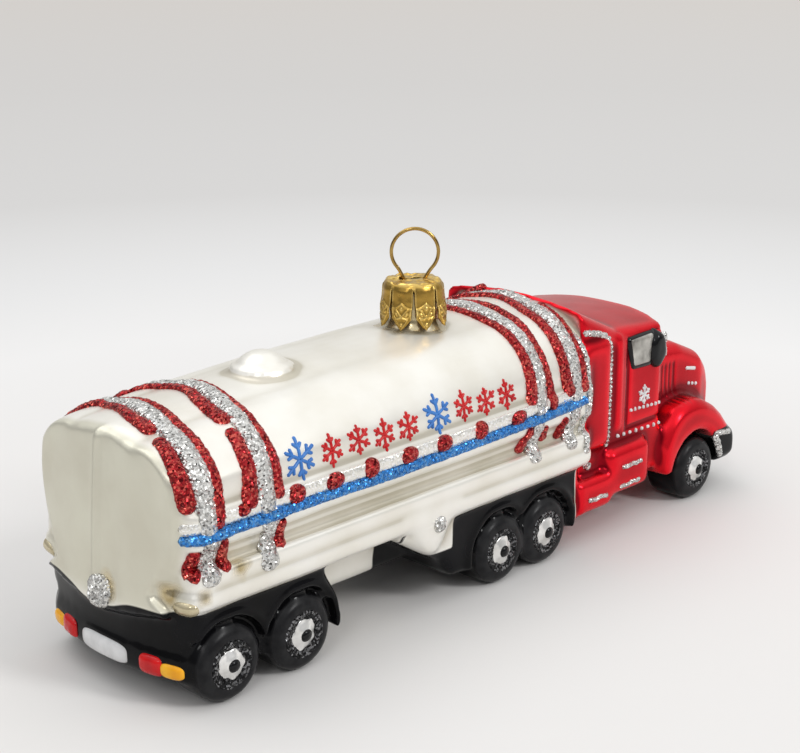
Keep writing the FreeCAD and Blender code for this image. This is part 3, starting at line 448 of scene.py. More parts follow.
def painted_glass():
    """The skin's lacquers: pearl, red, glossy black and the tyres' satin black, and bare golden glass, with
    painted shade on the pearl and red in hollows and on the rear pan.
    """
    material, tree, shader = nodes_of("painted_glass")
    place = place_of(tree)
    mottle = noise(tree, place, 90, 5)

    def paint(low, high, pattern=mottle):
        return ramp(tree, pattern, [(0.35, low), (0.65, high)])

    pearl = paint((0.84, 0.81, 0.73), (0.91, 0.89, 0.83))
    shaded_pearl = paint((0.56, 0.52, 0.42), (0.66, 0.62, 0.53))
    shaded_pan_pearl = paint((0.65, 0.62, 0.51), (0.71, 0.69, 0.575))
    red = paint((0.70, 0.006, 0.016), (0.84, 0.014, 0.026))
    shaded_red = paint((0.20, 0.001, 0.006), (0.27, 0.002, 0.009))
    black = paint((0.002, 0.002, 0.002), (0.005, 0.005, 0.006))
    bare = paint((0.42, 0.33, 0.17), (0.66, 0.56, 0.36), noise(tree, place, 400, 4))
    tyre = paint((0.010, 0.010, 0.011), (0.020, 0.020, 0.021), noise(tree, place, 500, 4))
    red_zone, black_zone, tyre_zone = [zone(tree, name) for name in ("red_zone", "black_zone", "tyre_zone")]
    bare_zone = zone(tree, "bare_zone", 0.9)
    # painted shade: pearl and red are painted darker where the skin lies below its surroundings
    recess_shade = ranged(tree, stored(tree, "depth"), From_Min=-0.05, From_Max=0.06)
    pearl_recess_shade = maths(tree, "POWER", (0, recess_shade), (1, 2.4), kind="Math")
    pearl = layered(tree, pearl_recess_shade, pearl, shaded_pearl)
    # painted shade: the rear pan is painted greyer and yellower than the tank's side
    pearl = layered(tree, stored(tree, "rear_pan"), pearl, shaded_pan_pearl)
    red = layered(tree, recess_shade, red, shaded_red)
    colour = pearl
    for factor, coat in ((bare_zone, bare), (red_zone, red), (black_zone, black), (tyre_zone, tyre)):
        colour = layered(tree, factor, colour, coat)
    metal = stepped(tree, 0.48, [(bare_zone, 0.8), (red_zone, 0.68), (black_zone, 0.0)])
    satin = stepped(tree, 0.32, [(bare_zone, 0.2), (red_zone, 0.24), (black_zone, 0.11), (tyre_zone, 0.30)])
    cloud = ranged(tree, noise(tree, place, 240, 4), To_Min=-0.04, To_Max=0.04)
    rough = maths(tree, "ADD", (0, satin), (1, cloud), kind="Math")
    dress(tree, shader, Base_Color=colour, Metallic=metal, Roughness=rough, Specular_IOR_Level=0.12,
          Normal=bumps(tree, place, 700, 2, 0.2, 0.04))
    return material


def paint_zones(thing):
    """Keep what the paint needs: how many millimetres each vertex lies inside each painted zone, with wavy
    edges, and how deep it lies below its surroundings and whether it is on the rear pan, for painted shade."""
    points = vectors_of(thing.data)
    x, y, z = (points / MM).T
    wave = 0.22 * grain(points, 4 * MM, 7)
    side = np.abs(y)
    steps = np.minimum(x - 20.4, 17.0 - z)
    red = np.maximum(x - CAB_SPLIT + 0.4 + wave, steps)
    floor_line = CHASSIS_SPLIT - 0.2 - 2.3 * bell(y, 0, 6) * soft_step(-x, 70, 74)
    bracket = np.min([x + 26.8, -14.5 - x, z - 11.0, side - 17.4], axis=0)
    open_stretch = np.minimum(x + 41.0, -27.0 - x) - 0.5 * grain(points, 3 * MM, 12)
    black = np.min([floor_line - z + wave, -bracket, -open_stretch, 20.2 - x], axis=0)
    front_arch = TYRE_RADIUS + 0.9 - np.hypot(x - AXLES[4], z - TYRE_RADIUS)
    bumper = np.minimum(x - 66.2, 13.3 - z) + wave
    black = np.max([black, np.minimum(front_arch, side - 10.5), bumper], axis=0)
    hubs = np.min([np.hypot(x - axle, z - TYRE_RADIUS) for axle in AXLES], axis=0)
    tyre = np.minimum(TYRE_RADIUS - 0.3 - hubs, side - 12.5)
    bare = np.full(len(x), -9.0)
    for spot, reach in BARE_SPOTS:
        bare = np.maximum(bare, reach - np.linalg.norm(points / MM - spot, axis=1))
    bare = np.maximum(bare, np.minimum(5.2 - np.hypot(x - NECK_PLACE, y), z - 46.6) + 0.6)
    bare += 0.7 * grain(points, 1.6 * MM, 9)
    edges = np.empty(len(thing.data.edges) * 2, np.int32)
    thing.data.edges.foreach_get("vertices", edges)
    # how deep each vertex lies, for the painted shade in hollows
    depth = pooled(points, vectors_of(thing.data, "normal"), edges.reshape(-1, 2))
    # how far each vertex is on the rear pan, for the painted shade there
    pan = soft_step(-x, 72.8, 74.4) * soft_step(z, 14, 18)
    for name, values in (("red_zone", red), ("black_zone", black), ("tyre_zone", tyre), ("bare_zone", bare),
                         ("depth", depth), ("rear_pan", pan)):
        keep(thing.data, name, values)


def softened(values, times):
    """Each row mixed with its neighbours, a quarter from each side, that many times; the ends stay."""
    values = values.copy()
    for _ in range(times):
        values[1:-1] = values[1:-1] / 2 + (values[:-2] + values[2:]) / 4
    return values


def spaced(table, step, rounding, lengths=(1, 1)):
    """The table's rows at even steps of the running length, whose columns count by those lengths, with its
    corners rounded over about that many millimetres."""
    table = np.asarray(table, float)
    run = run_of(table[:, :len(lengths)] * lengths)
    at = np.linspace(0, run[-1], max(int(run[-1] / step), 8))
    dense = columns(*[np.interp(at, run, column) for column in table.T])
    return softened(dense, int(2 * (rounding / step) ** 2))


def laid(starts, aims):
    """Where rays from these places, in millimetres, meet the skin, and its outward directions there. A ray
    that misses takes the skin's nearest point to where it would have met it."""
    found = []
    for start, aim in zip(starts, aims):
        start, aim = Vector(start), Vector(aim)
        hit = tree_of_skin.ray_cast(start * MM, aim)
        if hit[0] is None:
            hit = tree_of_skin.find_nearest((start + aim * MISSED_RAY) * MM)
        found.append(hit)
    return np.array([hit[0] / MM for hit in found], float), np.array([hit[1] for hit in found], float)


def round_tank(table, step=0.3):
    """A line of (x, turn, width, height) laid on the skin: turn is the angle from the top about the tank's
    middle, and past the last turn it counts millimetres straight down the side."""
    rows = spaced(table, step, 1.2, (1, 0.3))
    x, turn = rows[:, 0], rows[:, 1]
    side, size = np.sign(turn), np.abs(turn)
    angle = np.radians(np.minimum(size, LAST_TURN)) * side
    aims = columns(0, -np.sin(angle), -np.cos(angle))
    starts = np.array([0, 0, TANK_MIDDLE]) - BESIDE * aims
    starts[:, 0] = x
    low = size > LAST_TURN
    aims[low] = columns(0, -side, 0)[low]
    height = LAST_TURN_HEIGHT - (size - LAST_TURN) / TURNS_A_MM
    starts[low] = columns(x, BESIDE * side, height)[low]
    return (*laid(starts, aims), rows[:, 2], rows[:, 3])


def on_side(table, side, step=0.3, rounding=0.5):
    """A line of (x, z, width, height) laid on one side of the skin."""
    rows = spaced(table, step, rounding)
    starts = columns(rows[:, 0], BESIDE * side, rows[:, 1])
    aims = np.tile((0, -side, 0), (len(rows), 1))
    return (*laid(starts, aims), rows[:, 2], rows[:, 3])


def bead(line, seed, rough=0.0, size=0.5, around=16, sunk=0.4, ease=0.4, lift=0.0):
    """A bead along a laid line: a half ellipse of the line's width and height with rounded ends, sunk below,
    its crown roughened by noise of that size. Point = path + side * u + out * v."""
    spots, outs, width, height = line
    step = np.linalg.norm(spots[-1] - spots[0]) / len(spots) + 0.02
    spots = softened(spots, int(2 * (ease / step) ** 2))
    outs = softened(outs, int(2 * (2 * ease / step) ** 2) + 2)
    along = np.gradient(spots, axis=0)
    along /= np.linalg.norm(along, axis=1)[:, None] + 1e-9
    outs = outs - along * np.sum(outs * along, axis=1)[:, None]
    outs /= np.linalg.norm(outs, axis=1)[:, None]
    side = np.cross(along, outs)
    run = run_of(spots)
    end = np.clip(np.minimum(run, run[-1] - run) / (np.interp(run, [0, run[-1]], width[[0, -1]]) / 2), 0, 1)
    swell = np.sqrt(1 - (1 - end) ** 2)
    turn = (circle(around) + math.pi / around)[None, :, None]
    across, up = np.cos(turn), np.sin(turn)
    high = np.maximum(up, 0)
    low = np.where(up > 0, 0, -1.0)
    half = (width / 2 * swell)[:, None, None]
    rise = (height * swell)[:, None, None]
    raised = outs[:, None] * (lift + rise * high + sunk * low)
    points = spots[:, None] + side[:, None] * half * across + raised
    if rough:
        flat = points.reshape(-1, 3)
        push = side[:, None] * across + outs[:, None] * high
        amount = rough * (grain(flat, size, seed) + 0.6 * grain(flat, size / 2, seed + 1))
        points = points + push * (amount.reshape(points.shape[:2]) * swell[:, None])[:, :, None]
    return closed_rings(points[1:-1], spots[0] + outs[0] * lift, spots[-1] + outs[-1] * lift)


def closed_rings(rings, first, last):
    """Rings of points joined by quads and closed by a fan to a point at each end, as points and faces."""
    count, around = rings.shape[:2]
    points = np.concatenate([rings.reshape(-1, 3), [first], [last]])
    step = np.arange(around)
    after = (step + 1) % around
    row = np.arange(count - 1)[:, None] * around
    quads = np.stack([row + step, row + after, row + around + after, row + around + step], axis=-1)
    pole, tail = count * around, (count - 1) * around
    start = columns(after, step, pole)
    finish = columns(tail + step, tail + after, pole + 1)
    return points, quads.reshape(-1, 4).tolist() + start.tolist() + finish.tolist()


def pad(outline, aim, height, seed=1, rough=0.0, size=0.5, sunk=0.5, square=2.0, lift=0.0, rings=9):
    """A pad of paint or glue: the outline drawn in to its middle in rings, laid on the skin along the aim,
    raised by height times (1 - t ** square) ** 0.5, where t is 1 at the outline, and closed underneath."""
    outline = np.asarray(outline, float)
    around = len(outline)
    middle = outline.mean(axis=0)
    shares = np.sin(np.linspace(math.pi / 2, 0.08, rings))
    flat = (middle + (outline - middle)[None] * shares[:, None, None]).reshape(-1, 3)
    flat = np.concatenate([flat, [middle]])
    spots, outs = laid(flat, np.tile(aim, (len(flat), 1)))
    out = outs.mean(axis=0)
    out /= np.linalg.norm(out)
    t = np.concatenate([np.repeat(shares, around), [0]])
    rise = height * np.sqrt(np.clip(1 - t ** square, 0, 1)) + lift
    if rough:
        rise = rise + rough * (1 - t ** 6) * (grain(flat, size, seed) + 0.6 * grain(flat, size / 2, seed + 1))
    points = spots + out * rise[:, None]
    top = points[:-1].reshape(rings, around, 3)
    foot = spots[:around] - out * sunk
    return closed_rings(np.concatenate([foot[None], top]), spots[-1] - out * sunk, points[-1])


def rounded(middle, half, square, count=48):
    """An outline of |p / half| ** square + |q / half| ** square = 1 about a middle."""
    turn = circle(count)
    p = np.sign(np.cos(turn)) * np.abs(np.cos(turn)) ** (2 / square) * half[0]
    q = np.sign(np.sin(turn)) * np.abs(np.sin(turn)) ** (2 / square) * half[1]
    return columns(middle[0] + p, middle[1] + q)


def uneven(outline, seed):
    """An outline whose distance from its middle swells and sinks a little, as a brush leaves it."""
    middle = outline.mean(axis=0)
    turn = circle(len(outline))
    swell = 0.05 * (np.sin(2 * turn + seed) + np.sin(5 * turn + seed * 3)) + 0.03 * np.sin(9 * turn + seed)
    return middle + (outline - middle) * (1 + swell)[:, None]


def corners_round(corners, rounding, count=56):
    """A polygon's outline at even steps with rounded corners."""
    corners = np.asarray(corners, float)
    loop = np.concatenate([corners, corners, corners, corners[:1]])
    rows = spaced(loop, 0.15, rounding)
    third = len(rows) // 3
    at = np.linspace(third, 2 * third, count, endpoint=False).astype(int)
    return rows[at]


def beside(outline, side):
    """An outline of (x, z) as places beside the skin, wound the right way, and the aim to lay it."""
    x, z = np.transpose(outline if side < 0 else outline[::-1])
    return columns(x, BESIDE * side, z), (0, -side, 0)


def on_both(outline, *values, **more):
    """The same pad on both sides."""
    return [pad(*beside(outline, side), *values, **more) for side in BOTH]


def behind(outline):
    """An outline of (y, z) as places behind the skin, and the aim to lay it."""
    return columns(BEHIND, *np.transpose(outline[::-1])), (1, 0, 0)


def piled(name, parts, material, *nodes, body="glass"):
    """Several closed parts, in millimetres, as one finished piece with its faces turned outward."""
    points, faces, base = [], [], 0
    for part_points, part_faces in parts:
        points.append(part_points)
        faces += [[index + base for index in face] for face in part_faces]
        base += len(part_points)
    mesh = mesh_from(name, np.concatenate(points) * MM, faces)
    with reworked(mesh) as work:
        bmesh.ops.recalc_face_normals(work, faces=work.faces)
    finished(fresh_object(name, mesh), material, body, *nodes)


def arch(near, far, widths, heights):
    """A strand over the tank from its near end to its far end: rows of (x, turn) for the near side, from low
    to the top, and for the far side, from the top to low, with widths and heights told along it."""
    rows = [(x, -turn) for x, turn in near] + [(x, turn) for x, turn in far]
    spread = np.linspace(0, 1, len(rows))
    sizes = [np.interp(spread, np.linspace(0, 1, len(told)), told) for told in (widths, heights)]
    return [(x, turn, width, height) for (x, turn), width, height in zip(rows, *sizes)]


# Bands: (x, turn) from the foot of the near side over the top, read off the photo
SILVER = (
    ([(-70, 128), (-70.1, 122), (-69.6, 113), (-69.9, 103), (-70.3, 89), (-70.2, 79), (-69.9, 68),
      (-69.4, 56), (-68.4, 38), (-67.3, 20), (-66.8, 5)],
     [(-66.2, 14), (-65.6, 35), (-65.4, 60), (-65.2, 80), (-65.2, 103), (-65.2, 128)]),
    ([(-58.4, 131), (-58.3, 124), (-57.4, 114), (-58.2, 103), (-58.6, 90), (-58.5, 80), (-58.2, 68),
      (-57.4, 52), (-56.2, 34), (-54.9, 14)],
     [(-54.4, 8), (-54.8, 24), (-55.6, 60), (-56.6, 80), (-57.2, 103), (-57.6, 138)]),
    ([(7, 127), (7.2, 121), (7.9, 113), (7.6, 103), (8.4, 90), (8.6, 78), (8.5, 67), (8.9, 56), (9.3, 43),
      (10.3, 25), (11.3, 5)],
     [(12.3, 8), (13.2, 26), (12.6, 55), (11.4, 80), (10.2, 103), (9.6, 132)]),
    ([(17.5, 127), (17.8, 121), (18.7, 113), (18.4, 103), (18.9, 89), (18.8, 78), (18.7, 68), (19.2, 58),
      (19.9, 46), (21.2, 32), (22.2, 16)],
     [(22.6, 4), (22.4, 22), (21.9, 50), (21, 80), (20.2, 103), (19.8, 132)]),
)
REAR_RED = (
    ([(-70.2, 34), (-70.1, 20), (-69.9, 6)], [(-68.9, 8), (-67.8, 26), (-66.9, 46)]),
    ([(-72.6, 86), (-73.2, 75), (-73.1, 64), (-72.1, 53), (-71.1, 40)], []),
    ([(-59.5, 47), (-59, 34), (-58.1, 14), (-56.9, 2)], [(-56.4, 12), (-56.6, 36), (-58.4, 60)]),
    ([(-62.2, 92), (-61.5, 84), (-61.1, 74), (-60.8, 65), (-60.3, 57), (-60.1, 50)], []),
    ([(6.1, 89), (6.5, 80), (6.4, 72), (6.9, 62), (7, 52), (7.2, 40), (7.7, 24), (8, 8)],
     [(8.4, 8), (8.9, 30), (8.4, 60), (7.6, 80), (6.8, 90)]),
    ([(17.3, 91), (16.4, 81), (16.1, 72), (16.4, 62), (16.9, 51), (17.4, 38), (18.9, 21), (20.9, 2)],
     [(21.6, 14), (21, 30), (18.9, 60), (17.4, 80), (16.6, 90)]),
    ([(-73, 124), (-72.1, 117), (-72.1, 107)], []),
    ([(3.7, 119), (4.6, 112), (5.8, 102)], []),
    ([(15, 119), (15.6, 112), (15.7, 103)], []),
)
FRONT_RED = (
    ([(-69, 97), (-67.9, 86), (-67.9, 76), (-67.6, 66), (-66.9, 50), (-65.4, 27), (-64.6, 6)],
     [(-64.3, 8), (-64.1, 22), (-64.6, 40)]),
    ([(-56.2, 92), (-55.9, 80), (-56, 68), (-55.8, 54), (-54.8, 38), (-53.6, 12)],
     [(-53, 4), (-53.2, 20)]),
    ([(11.8, 96), (11.6, 86), (11, 76), (10.9, 64), (11.4, 50), (12.6, 38), (14.2, 19), (14.9, 4)],
     [(14.8, 8), (14.6, 26), (13.6, 50)]),
    ([(21, 91), (21.4, 80), (20.9, 70), (21, 60), (21.6, 49), (22.3, 36), (22.9, 24)], []),
    ([(-66.9, 123), (-66.6, 114), (-67.5, 103)], []),
    ([(-55.2, 121), (-55, 113), (-55.6, 103)], []),
    ([(10.4, 116), (10.2, 110), (9.8, 104)], []),
)
SILVER_WIDTHS = (4.6, 3, 3.3, 4, 3.6, 3.2, 3.4, 3.3, 3, 4.4)
SILVER_HEIGHTS = (0.95, 0.6, 0.95, 1, 0.95, 0.6, 0.95)


def other_side(strand):
    """The same short strand on the far side of the tank, a little further forward."""
    near = strand[0]
    forward = 4.5 if near[0][0] < -65 else 0.6
    return ([], [(x + forward, turn) for x, turn in near[::-1]])


def band_parts(strands, widths, heights, rough, seed, around=18):
    """Beads for all the strands, and for each strand that stays on the near side another on the far side."""
    parts = []
    for index, strand in enumerate(strands):
        short = not strand[1]
        foot = strand[0][0][1] > 100 and short
        for near, far in ([strand, other_side(strand)] if short else [strand]):
            told = [0.95 * widths[0], 0.6 * widths[0]] if foot else widths[:2] if short else widths
            rows = arch(near, far, told if near else told[::-1], heights)
            parts.append(bead(round_tank(rows, 0.26), seed + index, rough, 0.42, around))
    return parts


def hand_dots(places, size, height, side, seed):
    """Drops of glitter glue in a row on one side, none quite like the next."""
    parts = []
    for index, (x, z) in enumerate(places):
        wobble = 1 + 0.12 * math.sin(index * 2.4 + seed)
        outline = rounded((x, z), (size[0] / 2 * wobble, size[1] / 2 / wobble), 2.2, 28)
        parts.append(pad(*beside(outline, side), height, seed + index, 0.10, 0.4, rings=6))
    return parts


def dotted(table, size, gap, height, side, seed):
    """Drops strung along a line of (x, z)."""
    rows = spaced(table, gap, 0.3)
    return hand_dots(rows, (size, size), height, side, seed)


def crystal(x, z, reach, side, seed, stroke, height):
    """A snow crystal in paint: six arms with a pair of twigs on each."""
    parts = []
    for arm in range(6):
        lean = math.radians(60 * arm + 90 + 4 * math.sin(seed + arm))
        length = reach * (1 + 0.06 * math.sin(seed * 3 + arm * 2))
        tip = (math.cos(lean), math.sin(lean))
        strokes = [[(0, 0), (tip[0] * length, tip[1] * length)]]
        root = (tip[0] * length * 0.5, tip[1] * length * 0.5)
        for bend in (-0.85, 0.85):
            twig = (math.cos(lean + bend) * reach * 0.36, math.sin(lean + bend) * reach * 0.36)
            strokes.append([root, (root[0] + twig[0], root[1] + twig[1])])
        for line in strokes:
            table = [(x + p, z + q, stroke, height) for p, q in line]
            parts.append(bead(on_side(table, side, 0.18, 0.1), seed + arm, 0.05, 0.3, 10, 0.3, 0.1))
    return parts


def strokes_on_side(tables, side, seed, rough):
    return [bead(on_side(table, side), seed + index, rough, 0.4) for index, table in enumerate(tables)]


def wave_stroke(start, end, turns):
    """A hand-drawn wavy stroke: a low sine of that number of turns from start to end."""
    share = np.linspace(0, 1, 24)
    x = start[0] + (end[0] - start[0]) * share
    z = start[1] + (end[1] - start[1]) * share + 0.22 * np.sin(share * turns * 2 * math.pi)
    return [(p, q, 0.9, 0.4) for p, q in zip(x, z)]


def leaf_sheet():
    """The cap's outer face as leaves drawn to points: turn = middle + HALF_LEAF * u * (1 - gap), radius and
    height from a profile of the crown. Raised are the hems and, on each leaf, a diamond with a cross."""
    share = np.linspace(0, 1, 90)[:, None]
    u = np.linspace(-1, 1, 29)[None]
    marks = [0, 0.34, 0.38, 0.42, 0.48, 0.60, 0.78, 1]
    radius = np.interp(share, marks, [0, 4.75, 5.15, 5.36, 5.45, 5.58, 5.80, 5.85])
    sunk = np.interp(share, marks, [0, 0.02, 0.2, 0.55, 1.2, 2.9, 5.3, 8.3])
    down = soft_step(share, 0.44, 1.0)
    gap = 0.05 * soft_step(share, 0.46, 0.5) + 0.13 * soft_step(share, 0.5, 1.0)
    fall = sunk * (1 - 0.27 * np.abs(u) ** 1.3 * soft_step(share, 0.5, 1.0))
    q = (8.3 - sunk) / 2.45 - 1
    wide, tall = np.abs(u), np.abs(q)
    reach = wide / 0.84 + np.maximum(tall - 0.35, 0) / 0.62
    diamond = bell((reach - 1) * 1.6, 0, 0.15) * (q < 1.2)
    inside = (reach < 0.93) * (q < 1.2)
    cross = bell(wide, tall * 1.25, 0.09) * inside
    knots = bell(np.hypot(u, tall - 0.62), 0, 0.14) + bell(np.hypot(wide - 0.50, q), 0, 0.14)
    hem = bell(wide, 0.93, 0.07) * soft_step(share, 0.40, 0.46)
    relief = np.clip(0.9 * diamond + 0.9 * cross + knots * inside + 0.8 * hem, 0, 1)
    bulge = 0.30 * (1 - u ** 2) * soft_step(share, 0.38, 0.52)
    radius = radius + 0.28 * relief * soft_step(share, 0.38, 0.44) + bulge - 0.10
    sheets = []
    for leaf in range(LEAVES):
        turn = np.radians(HALF_LEAF + 2 * HALF_LEAF * leaf + HALF_LEAF * u * (1 - gap))
        far = radius + 0.10 * math.sin(leaf * 2.3) * down
        x, y = NECK_PLACE + far * np.cos(turn), far * np.sin(turn)
        sheets.append(np.stack([x, y, CAP_TOP - fall + 0 * u], axis=-1))
    return np.stack(sheets), np.tile((relief + 0 * u)[None], (LEAVES, 1, 1))


def crown():
    """The pressed cap: the leaf sheets joined, slotted for the wire, crinkled on top and made thick."""
    sheets, relief = leaf_sheet()
    rows, across = sheets.shape[1:3]
    flat = sheets.reshape(-1, 3)
    reach = np.hypot(flat[:, 0] - NECK_PLACE, flat[:, 1])
    crinkle = grain(flat, 1.3, 21) + 0.7 * grain(flat, 0.6, 22)
    ridge = 0.40 * (1 - np.abs(grain(flat, 1.5, 23))) - 0.25
    on_top = (1 - soft_step(reach, 4.5, 5.4)) * soft_step(reach, 0.0, 0.8)
    flat[:, 2] += (0.22 * crinkle + 1.2 * ridge) * on_top
    side = soft_step(reach, 5.2, 5.5)
    outward = (flat[:, :2] - [NECK_PLACE, 0]) / np.maximum(reach, 0.1)[:, None]
    flat[:, :2] += outward * (0.05 * grain(flat, 0.9, 24) * side)[:, None]
    base = (np.arange(LEAVES) * rows * across)[:, None, None]
    row = (np.arange(rows - 1) * across)[None, :, None]
    corner = (base + row + np.arange(across - 1)).ravel()
    quads = columns(corner, corner + across, corner + across + 1, corner + 1)
    middles = flat[quads].mean(axis=1) - [NECK_PLACE, 0, 0]
    along = (middles[:, 0] - middles[:, 1]) * SLANT
    over = (middles[:, 0] + middles[:, 1]) * SLANT
    slot = (np.abs(along) < 2.5) & (np.abs(over) < 0.5) & (middles[:, 2] > CAP_TOP - 1)
    mesh = mesh_from("crown_sheet", flat * MM, quads[~slot])
    # painted light: the relief and the flat top of the crown are kept as raised, to stay bright in the gold;
    # the rest is painted in shade
    bright = relief.reshape(-1) + (1 - soft_step(reach, 4.9, 5.5)) * (0.6 + 0.4 * crinkle)
    keep(mesh, "raised", np.clip(bright, 0, 1))
    with reworked(mesh) as work:
        bmesh.ops.remove_doubles(work, verts=work.verts, dist=2e-5)
        bmesh.ops.recalc_face_normals(work, faces=work.faces)
        top = max(work.faces, key=lambda face: face.calc_center_median().z)
        if top.normal.z < 0:
            bmesh.ops.reverse_faces(work, faces=work.faces)
    thing = fresh_object("pressed_crown", mesh)
    return grown(thing, "SOLIDIFY", thickness=0.3 * MM, offset=-1.0, use_even_offset=False)


def tube(places, radius, normal, around=20):
    """A round wire of that radius along places in a plane with that normal, closed at its ends."""
    along = np.gradient(places, axis=0)
    along /= np.linalg.norm(along, axis=1)[:, None]
    side = np.cross(along, normal)
    turn = circle(around)[None, :, None]
    rings = places[:, None] + radius * (side[:, None] * np.cos(turn) + normal * np.sin(turn))
    return closed_rings(rings, places[0], places[-1])


def hanger():
    """The wire: two legs up through the slot, opening into the ring."""
    swing = np.radians(np.linspace(-134, -406, 140))
    ring = [(RING_SHIFT + RING_RADIUS * math.cos(a), RING_PLACE + RING_RADIUS * math.sin(a)) for a in swing]
    line = [(-1.6, CAP_TOP - WIRE_DEPTH), (-1.6, CAP_TOP - 0.6), (-1.75, CAP_TOP + 0.1)] + ring
    line += [(2.1, CAP_TOP + 0.1), (1.95, CAP_TOP - 0.6), (1.95, CAP_TOP - WIRE_DEPTH)]
    rows = spaced(line, 0.12, 0.3)
    places = columns(NECK_PLACE + rows[:, 0] * SLANT, -rows[:, 0] * SLANT, rows[:, 1])
    return tube(places, WIRE_RADIUS, np.array([SLANT, SLANT, 0]))


# The skin
shell = skin()
tree_of_skin = BVHTree.FromPolygons(
    [tuple(point) for point in vectors_of(shell.data)],
    [tuple(face.vertices) for face in shell.data.polygons])
cab_plane = (CAB_SPLIT * MM, 0, 0)
chassis_plane = (0, 0, CHASSIS_SPLIT * MM)
tank = cut_part(shell, "tank_glass", [(cab_plane, (1, 0, 0)), (chassis_plane, (0, 0, -1))])
chassis = cut_part(shell, "chassis_glass", [(cab_plane, (1, 0, 0)), (chassis_plane, (0, 0, 1))])
cab = cut_part(shell, "cab_glass", [(cab_plane, (-1, 0, 0))])
bpy.data.objects.remove(shell)
glass = painted_glass()
for part in (tank, chassis, cab):
    paint_zones(part)
    finished(part, glass, "glass", "glass_body")

# Finishes
silver_glitter = glitter("silver_glitter", (0.72, 0.71, 0.68), (1.0, 1.0, 0.98), (0.16, 0.155, 0.15), 0.32)
red_glitter = glitter("red_glitter", (0.36, 0.008, 0.012), (0.95, 0.16, 0.12), (0.09, 0.0, 0.003), 0.34)
blue_glitter = glitter("blue_glitter", (0.04, 0.25, 0.68), (0.20, 0.52, 0.95), (0.01, 0.09, 0.36), 0.32)
white_glitter = glitter("white_glitter", (0.86, 0.84, 0.78), (1.0, 1.0, 1.0), (0.80, 0.78, 0.71), 0.28, 0.4)
black_glitter = glitter("black_glitter", (0.012, 0.012, 0.013), (0.30, 0.30, 0.31), (0.002,) * 3, 0.34)
cap_gold = gold("cap_gold", (0.72, 0.46, 0.11), (0.95, 0.72, 0.26), 0.27, True)
wire_gold = gold("wire_gold", (0.32, 0.19, 0.05), (0.52, 0.35, 0.11), 0.15)
black_enamel = enamel("black_enamel", (0.002,) * 3, (0.006, 0.006, 0.007))
red_enamel = enamel("red_enamel", (0.50, 0.006, 0.010), (0.70, 0.015, 0.015))
amber_enamel = enamel("amber_enamel", (0.85, 0.34, 0.01), (0.98, 0.52, 0.03))
white_enamel = enamel("white_enamel", (0.62, 0.62, 0.62), (0.80, 0.80, 0.80), 0.2)
silver_enamel = enamel("silver_enamel", (0.66, 0.65, 0.62), (0.96, 0.95, 0.93), 0.22, 0.6)
pane_enamel = enamel("pane_enamel", (0.22, 0.21, 0.19), (0.62, 0.60, 0.55), 0.3, 0.6)
bare_glass = enamel("bare_glass", (0.42, 0.35, 0.20), (0.66, 0.58, 0.40), 0.15, 0.5)
blue_paint = enamel("pale_blue_paint", (0.03, 0.13, 0.42), (0.07, 0.24, 0.62), 0.25)
red_paint = enamel("deep_red_paint", (0.45, 0.010, 0.014), (0.62, 0.02, 0.02), 0.25)

# Bands
piled("silver_beads", band_parts(SILVER, SILVER_WIDTHS, SILVER_HEIGHTS, 0.13, 31, 22),
      silver_glitter, "silver_bands")
piled("rear_red_beads", band_parts(REAR_RED, (3.3, 2.3, 1.8, 1.6), (0.9, 0.8, 0.7), 0.12, 41),
      red_glitter, "rear_red_bands")
piled("front_red_beads", band_parts(FRONT_RED, (2.6, 2.2, 1.5, 1.2), (0.85, 0.75, 0.65), 0.12, 61),
      red_glitter, "front_red_bands")

# Belt
blue_parts, white_parts, red_parts = [], [], []
for side in BOTH:
    start = -74.3 if side < 0 else -69.5
    blue_line = [(start, 29.2, 1.6, 0.5), (start + 2, 29.4, 1.9, 0.9), (-67.5, 29.5, 2, 1.25),
                 (-65, 29.6, 1.9, 0.8), (-61, 29.6, 2, 0.9), (-57, 29.6, 2.1, 1.25), (-53.5, 29.6, 2, 0.6),
                 (-45, 29.5, 1.9, 0.5), (-30, 29.4, 2.1, 0.55), (-15, 29.5, 1.9, 0.5), (0, 29.8, 2, 0.55),
                 (4, 29.9, 2, 0.9), (8, 30, 2.1, 1.25), (12, 30.2, 2, 1), (17, 30.4, 2, 1.25),
                 (21.8, 30.6, 1.6, 0.9)]
    white_line = [(start, 31.1, 1.8, 0.3), (-67, 31.7, 2.3, 0.35), (-50, 31.7, 2.4, 0.36),
                  (-30, 31.6, 2.4, 0.35), (-5, 31.8, 2.3, 0.35), (10, 32.2, 2.2, 0.35), (20, 32.6, 1.6, 0.25)]
    drops = [(x, 31.65) for x in (-52.4, -44, -35.6, -26.6, -18, -8.4, 1.8)]
    blue_parts.append(bead(on_side(blue_line, side), 71 + side, 0.09, 0.5, 18, 0.5, 0.6))
    white_parts.append(bead(on_side(white_line, side), 74 + side, 0.04, 0.4, 14, 0.4, 0.6))
    red_parts += hand_dots(drops, (4, 3.1), 1.05, side, 76 + side)
    red_parts += hand_dots([(-63.4, 32), (11.9, 32.4)], (2.6, 2.4), 0.8, side, 78 + side)
piled("blue_bead", blue_parts, blue_glitter, "blue_stripes")
piled("white_bead", white_parts, white_glitter, "white_strips")
piled("red_drops", red_parts, red_glitter, "red_dots")

